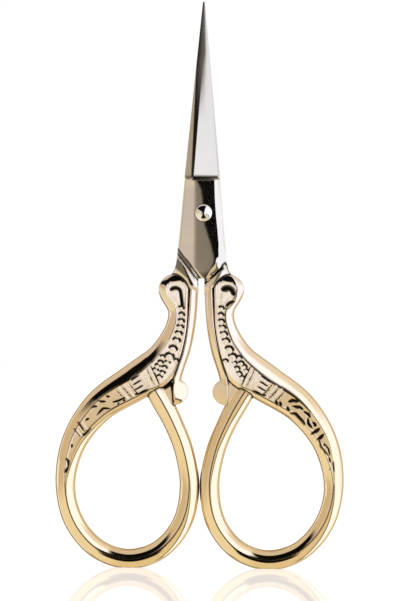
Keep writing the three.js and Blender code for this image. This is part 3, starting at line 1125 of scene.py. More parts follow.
        # Painted shade on the front of the band's outer side, below the top of the knob.
        beside = smooth((self.knob[1] + self.knob_inner[2] + self.band_fade - z) / self.band_fade)
        shade = self.band_shade * beside * ((np.cos(turn) < self.band_outside) & (np.sin(turn) < 0))
        return Solid.loft("inner_band", np.stack([x, np.broadcast_to(rise, x.shape), z], 2), shade)

    def knob_body(self) -> Solid:
        """The half-round knob where the band meets the bow, with a satin front.

        Returns:
            The closed body.
        """
        centre = np.array([self.knob[0], 0.0, self.knob[1]])
        form = (self.knob_facets, self.knob_flat, self.knob_lean)
        knob = Solid.ball("knob", centre, self.knob_inner, self.knob_outer, *form)
        knob.dark = np.where(knob.points[:, 1] < self.knob_front, -self.knob_matt, 0.0)
        return knob

    def web_body(self) -> Solid:
        """The web between the knob, the wing and the bow, which leans the same way on both faces, with
        painted shadow on its back face.

        Returns:
            The closed body.
        """
        steps = np.linspace(0.0, len(self.web_top) - 1.0, self.web_rings)
        top, low = (catmull(np.array(side), steps)[0] for side in (self.web_top, self.web_low))
        share = np.linspace(0.0, 1.0, self.web_facets)[None, :, None]
        x, z = np.moveaxis(top[:, None] * (1 - share) + low[:, None] * share, 2, 0)
        lean = self.web_lean * (x - self.knob[0] - self.web_level)
        front = np.stack([x, -self.web_depth - lean, z], 2)
        back = np.stack([x, self.web_depth - lean, z], 2)
        # Painted shadow along the web's top and along its seam beside the knob, on the back face only.
        beside = self.knob[0] + self.web_seam + self.web_taper * (z - self.web_low[0][1]) - x
        under = smooth((self.web_shadow - share[0, :, 0]) / self.web_shadow_fade)
        shadow = np.maximum(under, smooth(beside / self.web_seam_fade))
        plain = np.full(x.shape, -self.web_matt)
        dark = plain + (1.0 + self.web_matt) * shadow
        rings = np.concatenate([front, back[:, ::-1]], 1)
        return Solid.loft("web", rings, np.concatenate([plain, dark[:, ::-1]], 1))


@dataclass
class Ornament:
    """The carving of the panel: a comma in the scroll, beads, dots, ribs, bars, a flourish and its painted
    shade.

    Spots are places along the strip with shares of the panel's half width; the strokes of the front, the thin
    strokes and the last strokes of the back are X and Z.
    """

    handle: Handle
    beads: tuple[float, ...] = (1.94, 2.35, 2.75, 3.09, 3.39, 3.70, 4.09, 4.43)
    first_bead: float = 0.86
    last_bead: float = 1.44
    dots: Line = (
        (4.57, 0.61), (4.82, 0.44), (4.66, -0.09), (5.02, 0.43), (4.89, -0.15),
        (5.21, 0.28), (5.07, -0.31), (5.25, -0.42), (4.44, -0.84),
    )
    dot_width: float = 0.8
    dot_rise: float = 1.6
    ribs: tuple[Point, ...] = ((5.34, 5.46), (5.64, 5.68), (6.33, 6.27), (6.46, 6.40))
    rib_width: float = 0.6
    rib_reach: float = 0.95
    low_ribs: tuple[Point, ...] = ((7.50, 7.58), (7.71, 7.78))
    low_rib_width: float = 0.46
    bars: tuple[float, ...] = (0.62, 0.02, -0.58)
    bar_span: Point = (5.87, 6.17)
    bar_width: float = 0.75
    facets: int = 18
    rings: int = 12
    stud_matt: float = 0.75
    stud_sharp: float = 50.0
    comma: Line = ((1.12, 0.18), (1.42, 0.10), (1.76, 0.0))
    comma_radius: float = 0.95
    comma_tail: float = 0.22
    comma_turn: float = 120.0
    front_hook: float = 0.62
    back_hook: float = 0.42
    round_turn: float = 110.0
    round_hook: Point = (0.24, 0.22)
    hook_start: float = 75.0
    hook_fade: float = 40.0
    hook_offset: float = 0.3
    hook_tip: float = 0.3
    gaps: tuple[Line, ...] = (
        ((5.25, 0.9), (5.38, -0.9)),
        ((6.15, 0.92), (5.89, 0.8)),
        ((6.17, 0.38), (5.93, 0.26)),
        ((6.19, -0.24), (5.98, -0.32)),
        ((6.26, -0.71), (5.86, -1.02)),
    )
    seams: tuple[Line, ...] = (
        ((5.49, 0.9), (5.57, -0.9)),
        ((6.24, 0.9), (6.19, -0.9)),
        ((6.395, 0.9), (6.335, -0.9)),
        ((6.53, 0.9), (6.47, -0.9)),
    )
    front_strokes: tuple[Line, ...] = (
        ((4.9, 52.4), (5.7, 53.1), (6.7, 53.4)),
        ((17.5, 33.4), (18.4, 33.8), (19.7, 33.5)),
        ((18.3, 32.6), (19.9, 32.4), (20.6, 31.9)),
        ((20.6, 31.6), (21.6, 31.0), (22.0, 30.3)),
        ((15.1, 33.7), (15.4, 32.8)),
        ((15.9, 33.5), (16.2, 32.6)),
        ((17.3, 32.5), (17.8, 31.6)),
        ((18.0, 31.2), (19.1, 31.1), (20.5, 29.6), (21.0, 28.8)),
        ((21.5, 30.3), (21.6, 29.2), (22.4, 28.2)),
        ((22.4, 29.5), (23.0, 29.0), (22.7, 28.6)),
        ((22.2, 27.0), (24.0, 28.3)),
        ((23.4, 25.9), (24.8, 27.1)),
    )
    thin_strokes: tuple[Line, ...] = (
        ((23.8, 26.0), (24.2, 24.6), (25.7, 22.7)),
        ((24.8, 25.3), (25.6, 24.2), (26.0, 22.9)),
        ((24.7, 25.0), (24.9, 24.7)),
        ((25.8, 22.5), (26.1, 21.4)),
        ((26.6, 21.5), (26.9, 19.5)),
        ((26.0, 20.2), (26.1, 20.0)),
    )
    back_strokes: tuple[Line, ...] = (
        ((6.94, 1.0), (6.88, 0.6), (6.82, 0.28)),
        ((6.76, 0.85), (6.70, 0.5)),
        ((6.73, -0.29), (6.6, -0.5), (6.45, -0.54)),
        ((7.17, 1.2), (7.08, 0.95), (7.03, 0.6)),
        ((7.19, -0.27), (6.96, -0.23), (6.84, -0.83)),
        ((7.44, 0.57), (7.34, 0.25)),
        ((7.58, -0.7), (7.6, -1.1)),
        ((7.72, -0.7), (7.73, -1.1)),
        ((6.66, -0.95), (6.62, -0.7)),
        ((6.52, -0.9), (6.49, -0.7)),
        ((8.04, 0.33), (8.13, 0.2)),
        ((8.38, 1.2), (8.42, 0.0), (8.55, -0.8)),
        ((8.55, -0.8), (8.66, 0.3), (8.69, 1.4)),
    )
    last_strokes: tuple[Line, ...] = (
        ((24.4, 29.1), (23.1, 27.1)),
        ((25.1, 27.7), (23.8, 26.1)),
        ((23.6, 26.1), (22.6, 26.9), (21.8, 27.8)),
    )
    stroke_width: float = 0.56
    bold_width: float = 0.76
    thin_width: float = 0.46
    gap_width: float = 0.68
    seam_width: float = 0.28
    stroke_depth: float = 0.12
    stroke_taper: float = 0.7
    crest_span: Point = (0.6, 7.2)
    crest_width: Line = ((0.0, 0.08), (4.5, 0.1), (5.6, 0.2), (6.3, 0.3), (6.8, 0.3), (7.2, 0.01))
    ground_fade: Line = ((0.0, 1.0), (6.0, 1.0), (7.2, 0.8), (8.5, 0.75))

    def spot(self, strip: Strip, place: float, share: float) -> Point:
        """Length along the strip and offset across it, from a place and a share of the panel's half width.

        Args:
            strip: The strip that carries the panel.
            place: Place along the strip.
            share: Share of the panel's half width.

        Returns:
            The length and the offset.
        """
        at = strip.at(np.array([place]))
        return float(at.length[0]), float(at.middle[0] + share * at.half_panel[0])

    def centre(self, strip: Strip, place: float, share: float) -> Point:
        """X and Z of a spot on the panel, from a place and a share of the panel's half width.

        Args:
            strip: The strip that carries the panel.
            place: Place along the strip.
            share: Share of the panel's half width.

        Returns:
            X and Z.
        """
        at = strip.at(np.array([place]))
        across = at.middle[0] + share * at.half_panel[0]
        return float(at.x[0] + at.out_x[0] * across), float(at.z[0] + at.out_z[0] * across)

    def bead_widths(self) -> np.ndarray:
        """Widths of the beads in order."""
        return np.linspace(self.first_bead, self.last_bead, len(self.beads))

    def cuts(self, strip: Strip, side: Side) -> list[tuple[Sequence[Point], float]]:
        """The lines that are cut into one face, with their widths.

        Args:
            strip: The strip that carries the panel.
            side: The face.

        Returns:
            Corners in X and Z, and the width of each line.
        """
        spots = [(self.gaps, self.gap_width), (self.seams, self.seam_width)]
        if side is Side.FRONT:
            drawn = [(self.front_strokes, self.bold_width), (self.thin_strokes, self.thin_width)]
        else:
            spots.append((self.back_strokes, self.stroke_width))
            drawn = [(self.last_strokes, self.stroke_width)]
        lines: list[tuple[Sequence[Point], float]] = []
        for group, width in spots:
            lines += [([self.centre(strip, *p) for p in line], width) for line in group]
        for group, width in drawn:
            lines += [(line, width) for line in group]
        return lines

    def hook(
        self, right: np.ndarray, up: np.ndarray, radius: np.ndarray, width: float, end: float
    ) -> np.ndarray:
        """A painted dark crescent, standing for shade, over the top and the right of something round.

        Args:
            right: Distances from its centre to the right, as the face is seen.
            up: Distances from its centre upwards.
            radius: Its radius.
            width: Width of the crescent.
            end: Turn in degrees from the top to the end at the right.

        Returns:
            The painted shade.
        """
        turn = np.degrees(np.arctan2(right, up))
        ends = smooth((turn + self.hook_start) / self.hook_fade) * smooth((end - turn) / self.hook_fade)
        line = np.abs(np.hypot(right, up) - radius - self.hook_offset * width)
        reach = width * (self.hook_tip + (1.0 - self.hook_tip) * ends)
        return soft_line(line, reach) * smooth(2.0 * ends)

    def carving(self, strip: Strip) -> Carving:
        """Height and painted shade of what is cut into the panel or raised from it.

        Args:
            strip: The strip that carries the panel.

        Returns:
            A function of sections and offsets.
        """
        comma = [self.spot(strip, *p) for p in self.comma]
        drop = np.array([self.centre(strip, *p) for p in self.comma])
        spots = [(place, 0.0) for place in self.beads] + list(self.dots)
        widths = [*self.bead_widths(), *[self.dot_width] * len(self.dots)]
        rounds = [(*self.centre(strip, *spot), width / 2) for spot, width in zip(spots, widths)]

        def carve(
            at: Sections, across: np.ndarray, floor: np.ndarray, side: Side
        ) -> tuple[np.ndarray, np.ndarray]:
            """Height and painted shade on one face at sections and offsets.

            Args:
                at: Sections of the strip.
                across: Offsets across each section.
                floor: Share of the panel's full depth at each offset.
                side: The face.

            Returns:
                The height and the painted shade, below 0 for matt ground.
            """
            along = np.broadcast_to(at.length[:, None], across.shape)
            x = at.x[:, None] + at.out_x[:, None] * across
            z = at.z[:, None] + at.out_z[:, None] * across
            distance, share = to_line(along, across, comma)
            radius = self.comma_radius + (self.comma_tail - self.comma_radius) * share
            height = self.handle.relief * np.sqrt(1.0 - np.clip(distance / radius, 0.0, 1.0) ** 2)
            knots = np.linspace(0.0, 1.0, len(drop))
            cx, cz = (np.interp(share, knots, drop[:, i]) for i in range(2))
            # Painted shade: a dark crescent round the comma.
            width = self.front_hook if side is Side.FRONT else self.back_hook
            painted_dark = self.hook(side.value * (cx - x), z - cz, radius, width, self.comma_turn)
            for line, width in self.cuts(strip, side):
                distance, share = to_line(x, z, line)
                cut = soft_line(
                    distance, width / 2 * (1.0 - self.stroke_taper * np.abs(2.0 * share - 1.0) ** 3)
                )
                height = height - self.stroke_depth * cut * floor
                # Painted shade: each cut line is painted dark.
                painted_dark = np.maximum(painted_dark, cut)
            # Painted shade: dark crescents round the beads and dots.
            least, growth = self.round_hook
            for cx, cz, radius in rounds:
                crescent = (side.value * (cx - x), z - cz, radius, least + growth * radius, self.round_turn)
                painted_dark = np.maximum(painted_dark, self.hook(*crescent))
            # Painted shade: a dark line along the panel's border on the front face.
            if side is Side.FRONT:
                border = np.abs((at.middle + at.half_panel)[:, None] - across)
                crest = soft_line(border, through(at.place, self.crest_width)[:, None])
                low, high = self.crest_span
                painted_dark = np.maximum(painted_dark, crest * ((at.place > low) & (at.place < high))[:, None])
            fade = through(at.place, self.ground_fade)[:, None]
            return height, painted_dark - floor * (1.0 - painted_dark) * fade

        return carve

    def studs(self, strip: Strip, kind: Stud) -> tuple[np.ndarray, np.ndarray, np.ndarray]:
        """Places, turns and sizes of the beads and dots, or of the ribs and bars.

        They stand on both faces, and the low ribs on the back face only.

        Args:
            strip: The strip that carries the panel.
            kind: Which of them.

        Returns:
            Points, turns about Y and sizes, in millimetres.
        """
        spots: list[tuple[np.ndarray, float, Size]] = []
        rise = self.handle.relief

        def floor(place: float, share: float) -> np.ndarray:
            """A point on the floor of the panel.

            Args:
                place: Place along the strip.
                share: Share of the panel's half width.

            Returns:
                The point.
            """
            at = strip.at(np.array([place]))
            across = at.middle + share * at.half_panel
            depth = at.depth / 2 - at.recess
            return np.array([at.x + at.out_x * across, -depth, at.z + at.out_z * across]).ravel()

        def bar(start: Point, end: Point, width: float) -> None:
            """Adds a bar between two spots of the panel.

            Args:
                start: Spot of one end.
                end: Spot of the other end.
                width: Width of the bar.
            """
            a, b = floor(*start), floor(*end)
            run = b - a
            size = (width, 2 * rise, np.hypot(run[0], run[2]))
            spots.append(((a + b) / 2, math.atan2(run[0], run[2]), size))

        if kind is Stud.BEAD:
            for place, width in zip(self.beads, self.bead_widths()):
                spots.append((floor(place, 0.0), 0.0, (width, 2 * rise, width)))
            dot = (self.dot_width, self.dot_rise * rise, self.dot_width)
            for place, share in self.dots:
                spots.append((floor(place, share), 0.0, dot))
        else:
            for start, end in self.ribs:
                bar((start, self.rib_reach), (end, -self.rib_reach), self.rib_width)
            for share in self.bars:
                bar((self.bar_span[0], share), (self.bar_span[1], share), self.bar_width)
        both = len(spots)
        if kind is Stud.BAR:
            for start, end in self.low_ribs:
                bar((start, self.rib_reach), (end, -self.rib_reach), self.low_rib_width)
        points, turns, sizes = (np.array(column) for column in zip(*spots))
        mirrored = points * np.array([1.0, -1.0, 1.0])
        points = np.vstack([points[:both], mirrored])
        return points, np.append(turns[:both], turns), np.vstack([sizes[:both], sizes])

    def tree(self, kind: Stud) -> bpy.types.NodeTree:
        """Geometry Nodes that set one shape on every point of a mesh, by its turn and size.

        Args:
            kind: The shape.

        Returns:
            The tree.
        """
        tree = bpy.data.node_groups.new(f"{kind.name.lower()}s_on_panel", "GeometryNodeTree")
        sockets = {"Points": "Geometry", "Facets": "Int", "Finish": "Material"}
        for name, form in sockets.items():
            tree.interface.new_socket(name, in_out="INPUT", socket_type=f"NodeSocket{form}")
        tree.interface.new_socket("Studs", in_out="OUTPUT", socket_type="NodeSocketGeometry")
        graph = Graph(tree)
        start = graph.node("NodeGroupInput").outputs
        if kind is Stud.BEAD:
            sizes = {"Radius": 0.5, "Rings": self.rings, "Segments": start["Facets"]}
        else:
            sizes = {"Radius": 0.5, "Depth": 1.0, "Vertices": start["Facets"]}
        shape = graph.node(kind.value, sizes).outputs["Mesh"]
        read = "GeometryNodeInputNamedAttribute"
        turn, size = (
            graph.node(read, {"Name": name}, data_type="FLOAT_VECTOR").outputs["Attribute"]
            for name in ("turn", "size")
        )
        place = graph.node(
            "GeometryNodeInstanceOnPoints",
            {"Points": start["Points"], "Instance": shape, "Rotation": turn, "Scale": size},
        )
        real = graph.node("GeometryNodeRealizeInstances", {"Geometry": place.outputs["Instances"]})
        finish = graph.node(
            "GeometryNodeSetMaterial", {"Geometry": real.outputs["Geometry"], "Material": start["Finish"]}
        )
        graph.node("NodeGroupOutput", {"Studs": finish.outputs["Geometry"]})
        return tree

    def build(self, body: str, kind: Stud, finish: bpy.types.Material) -> bpy.types.Object:
        """The studs of one half as a plain mesh, dressed and on their body.

        Args:
            body: The body of the half.
            kind: Beads and dots, or ribs and bars.
            finish: Their material.

        Returns:
            The piece.
        """
        name = f"{body}_{kind.name.lower()}s"
        points, turns, sizes = self.studs(self.handle.outer(), kind)
        mesh = bpy.data.meshes.new(name)
        mesh.from_pydata((points * MM).tolist(), [], [])
        euler = np.stack([np.zeros_like(turns), turns, np.zeros_like(turns)], 1)
        for label, values in (("turn", euler), ("size", sizes * MM)):
            layer = mesh.attributes.new(label, "FLOAT_VECTOR", "POINT")
            layer.data.foreach_set("vector", values.astype(np.float32).ravel())
        thing = new_object(name, mesh)
        step = thing.modifiers.new("studs", "NODES")
        step.node_group = self.tree(kind)
        sockets = {s.name: s.identifier for s in step.node_group.interface.items_tree if s.in_out == "INPUT"}
        step[sockets["Facets"]] = self.facets
        step[sockets["Finish"]] = finish
        real = plain_mesh(thing)
        for label in ("turn", "size"):
            if label in real.attributes:
                real.attributes.remove(real.attributes[label])
        finish_mesh(real, np.full(len(real.vertices), -self.stud_matt), body == "back", self.stud_sharp)
        return dress(thing, name, body, finish, Plating.GOLD)


@dataclass
class Blade:
    """The boss and the ground blade of one half."""

    crotch: float
    pivot_rise: float = 12.3
    plunge_rise: float = 7.2
    length: float = 35.0
    boss_depth: float = 2.0
    boss_foot: float = 57.9
    boss_rows: int = 64
    lean: float = 0.045
    lean_length: float = 2.6
    lean_start: float = 0.9
    side_lean: float = 0.075
    side_lean_length: float = 1.8
    side_lean_start: float = -0.8
    lap_gap: float = 0.1
    lap_foot: Point = (-0.35, -0.4)
    lap_top: float = 1.01
    lap_bevel: float = 0.42
    lap_relief: float = 0.07
    lap_land: float = 0.55
    land_share: float = 0.3
    lap_past: float = 6.0
    collar_foot: Point = (0.6, 56.95)
    collar_head: Point = (4.45, 60.8)
    collar_floor: float = 50.0
    collar_plane: float = -0.6
    shoulder_half: float = 4.75
    plunge_half: float = 3.55
    tip_half: float = 0.22
    shoulder_rise: float = 5.4
    shoulder_gap: float = 0.3
    plunge_height: float = 0.55
    plunge_dark: Point = (6.0, -1.5)
    spine_depth: float = 1.85
    spine_lean: float = 0.13
    spine_fall: float = 0.3
    tip_depth: float = 0.6
    spine_strip: float = 1.4
    tip_strip: float = 0.04
    strip_reach: float = 0.64
    wall: float = 0.3
    tip_wall: float = 1.7
    wall_share: float = 0.6
    grind: float = 0.212
    tip_grind: float = 0.075
    grind_pace: float = 1.15
    hollow: float = 0.6
    hollow_start: float = 0.2
    hollow_fade: float = 0.5
    hollow_dark: float = 0.82
    dark_start: float = 0.3
    dark_fade: float = 0.4
    dark_power: float = 1.1
    edge: float = 0.25
    edge_inset: float = 0.45
    rounding: float = 0.35
    spine_rounding: float = 0.03
    chamfer: float = 0.95
    chamfer_curl: float = 0.14
    blade_rows: int = 70
    strip_steps: int = 6
    face_steps: int = 18
    flank_steps: int = 6
    crease_line: Line = (
        (57.9, 1.0), (58.5, 1.35), (59.6, 2.0), (60.6, 2.85), (61.6, 3.2),
        (63.6, 3.35), (66.6, 3.2), (71.0, 2.75), (77.6, 2.4),
    )
    level_line: Line = (
        (57.9, 0.9), (60.6, 2.6), (63.6, 2.6), (66.6, 1.7),
        (71.0, 0.6), (75.0, 0.3), (76.4, -0.1), (77.6, -1.0),
    )
    flare_line: Line = ((57.9, 0.85), (59.2, 0.68), (61.2, 0.3), (64.1, 0.0))

    @property
    def pivot(self) -> float:
        """Height of the pivot."""
        return self.crotch + self.pivot_rise

    @property
    def plunge(self) -> float:
        """Height where the grind starts."""
        return self.pivot + self.plunge_rise

    @property
    def shoulder(self) -> float:
        """Height of the shoulder."""
        return self.crotch + self.shoulder_rise

    @property
    def face_start(self) -> int:
        """Number of the face's first point in a ring: one is on the lap, three go round the spine."""
        return 4 + self.strip_steps

    def half(self, z: np.ndarray) -> np.ndarray:
        """Half the width of the blade and boss at heights.

        Args:
            z: Heights.

        Returns:
            The half widths.
        """
        fall = (self.plunge_half - self.shoulder_half) / (self.plunge - self.shoulder)
        taper = (self.tip_half - self.plunge_half) / self.length
        low = self.shoulder_half + (z - self.shoulder) * fall
        high = self.plunge_half + (z - self.plunge) * taper
        return np.where(z > self.plunge, high, low)

    def rings(self, z: np.ndarray, corners: list[np.ndarray], depths: Depths, rounding: float) -> np.ndarray:
        """Rings of points round the blade.

        Args:
            z: Heights of the rings.
            corners: X of the spine side, the strip's end, the start and end of the face, and the edge side.
            depths: Depth of the strip, the face and the flank at an X.
            rounding: Radius on the spine side.

        Returns:
            The rings.
        """
        left, strip, root, middle, right = corners
        lap = np.full(z.shape, self.lap_gap / 2)
        top = depths[0](left + rounding)
        points = [(left, lap + self.lap_relief)]
        for angle in np.radians([0, 30, 60]):
            points.append((left + rounding * (1 - math.cos(angle)), top - rounding * (1 - math.sin(angle))))
        spans = (
            (left + rounding, strip, np.linspace(0, 1, self.strip_steps)),
            (root, middle, np.linspace(0, 1, self.face_steps)),
            (middle, right, np.linspace(0, 1, self.flank_steps)[1:]),
        )
        for (start, end, shares), depth in zip(spans, depths):
            for share in shares:
                x = start + (end - start) * share
                points.append((x, depth(x)))
        points.append((right, lap))
        points.append((left + np.minimum(self.lap_land, self.land_share * (right - left)), lap))
        x, y = (np.stack(column, 1) for column in zip(*points))
        return np.stack([x, -y, np.repeat(z[:, None], x.shape[1], 1)], 2)

    def boss_rings(self) -> np.ndarray:
        """Sections of the boss: a face that is slightly round, and a wide chamfer.

        Returns:
            The rings.
        """
        z = np.linspace(self.boss_foot, self.plunge - self.plunge_height, self.boss_rows)
        crease, level, flare = (
            through(z, line) for line in (self.crease_line, self.level_line, self.flare_line)
        )
        right = np.where(z < self.shoulder, self.shoulder_half + flare, self.half(z))
        left = -self.half(z)
        strip = left + self.spine_strip
        leans = (
            (level + self.lean_start, self.lean_length, self.lean),
            (self.side_lean_start, self.side_lean_length, self.side_lean),
        )

        def face(x: np.ndarray) -> np.ndarray:
            """Depth of the face, which is level at its right and leans a little towards its left.

            Args:
                x: Places across.

            Returns:
                The depths.
            """
            depth = self.boss_depth
            for start, length, lean in leans:
                t = np.maximum((start - x) / length, 0.0)
                depth = depth - lean * length * np.where(t < 1.0, t**3 - t**4 / 2, t - 0.5)
            return depth

        def flank(x: np.ndarray) -> np.ndarray:
            """Depth of the chamfer."""
            share = (x - crease) / (right - crease)
            return face(crease) - self.chamfer * (share + self.chamfer_curl * (share**3 - share))

        corners = [left, strip, strip + self.wall, crease, right]
        return self.rings(z, corners, (face, face, flank), self.rounding)

    def blade_rings(self) -> tuple[np.ndarray, np.ndarray]:
        """Sections of the ground blade, from the plunge to the tip, and the painted shade of their points.

        Returns:
            The rings, and the painted shade of their points.
        """
        share = np.linspace(0, 1, self.blade_rows)
        z = self.plunge + share * self.length
        half = self.half(z)
        half[0] = self.plunge_half
        edge = half - self.edge_inset * (1 - share)
        spine = self.spine_depth + (self.tip_depth - self.spine_depth) * share
        strip = self.spine_strip * np.maximum(1 - share / self.strip_reach, 0) + self.tip_strip
        most = (half + edge - strip) * self.wall_share
        wall = np.minimum(self.wall + (self.tip_wall - self.wall) * share, most)
        crease = strip - half
        root = crease + wall
        slope = self.grind + (self.tip_grind - self.grind) * smooth(share * self.grind_pace)
        hollow = self.hollow * smooth((share - self.hollow_start) / self.hollow_fade)

        def spine_face(x: np.ndarray) -> np.ndarray:
            """Depth of the spine strip."""
            fall = self.spine_lean * np.maximum(crease - x, 0.0)
            return spine - np.minimum(fall, self.spine_fall * spine)

        def ground(x: np.ndarray) -> np.ndarray:
            """Depth of the ground face, which is hollow towards the tip.

            Args:
                x: Places across.

            Returns:
                The depths.
            """
            span = edge - root
            t = (edge - x) / span
            return self.edge + slope * span * (t * (1.0 + hollow) - hollow * t * t)

        corners = [-half, crease, root, (root + edge) / 2, edge]
        rings = self.rings(z, corners, (spine_face, ground, ground), self.spine_rounding)
        dark = np.zeros(rings.shape[:2])
        # Painted dark reflection on the ground face towards the tip, darkest at the spine side, and painted
        # black along the wall and the plunge.
        fade = smooth((share - self.dark_start) / self.dark_fade)
        first = self.face_start
        for step in range(1, self.face_steps):
            left = 1.0 - step / self.face_steps
            dark[:, first + step] = self.hollow_dark * fade * left**self.dark_power
        dark[:, first - 1] = 1.0
        dark[:, first] = 1.0 - (1.0 - self.hollow_dark) * fade
        dark[0, first:-2] = 1.0
        return rings, dark

    def body(self) -> Solid:
        """Boss and blade in one, cut along the lap edge and along the collar.

        Returns:
            The closed body.
        """
        boss = self.boss_rings()
        blade, dark = self.blade_rings()
        plain = np.zeros(boss.shape[:2])
        first = self.face_start
        # Painted shade: the boss's top ring under the plunge is black, fading out towards the edge side.
        plain[-1, first:] = smooth(np.linspace(*self.plunge_dark, plain.shape[1] - first))
        whole = Solid.loft("blade", np.concatenate([boss, blade]), np.vstack([plain, dark]))
        (foot, _), (_, head) = self.collar_foot, self.collar_head
        below = [self.collar_foot, self.collar_head]
        below += [(BEYOND, head), (BEYOND, self.collar_floor), (foot, self.collar_floor)]
        collar_cutter = Solid.plate("collar_cutter", below, -BEYOND, self.collar_plane)
        whole.combine([self.lap_cutter(), collar_cutter], Join.DIFFERENCE)
        return whole

    def lap_edge(self, shift: float, past: float) -> tuple[Point, Point]:
        """The two ends of the lap edge, moved square to it away from the boss and drawn out at both ends.

        Args:
            shift: How far it is moved.
            past: How far it is drawn out.

        Returns:
            The foot and the top of the edge.
        """
        foot = np.array([self.lap_foot[0], self.crotch + self.lap_foot[1]])
        top = np.array([-self.lap_top * self.shoulder_half, self.shoulder])
        edge = (top - foot) / np.linalg.norm(top - foot)
        aside = np.array([-edge[1], edge[0]]) * shift
        return tuple(foot + aside - edge * past), tuple(top + aside + edge * past)

    def lap_cutter(self) -> Solid:
        """Everything beyond the lap edge, with a bevel along the front of the edge.

        Returns:
            The closed body.
        """
        rings = []
        past, level = self.lap_past, self.boss_depth - self.lap_bevel
        for y, shift in ((BEYOND, 0.0), (-level, 0.0), (-level - past, -past)):
            foot, top = self.lap_edge(shift, past)
            outline = [foot, (-BEYOND, foot[1]), (-BEYOND, top[1]), top]
            rings.append([(x, y, z) for x, z in outline])
        return Solid.loft("lap_cutter", np.array(rings))

    def other_half(self) -> Solid:
        """The room that the other half's boss takes behind the lap plane, with the gap round it.

        Returns:
            The closed body.
        """
        foot, top = self.lap_edge(self.shoulder_gap, self.lap_past)
        outline = [(-foot[0], foot[1]), (-top[0], top[1]), (-BEYOND, top[1]), (-BEYOND, foot[1])]
        return Solid.plate("other_half", outline, -self.lap_gap / 2, BEYOND)


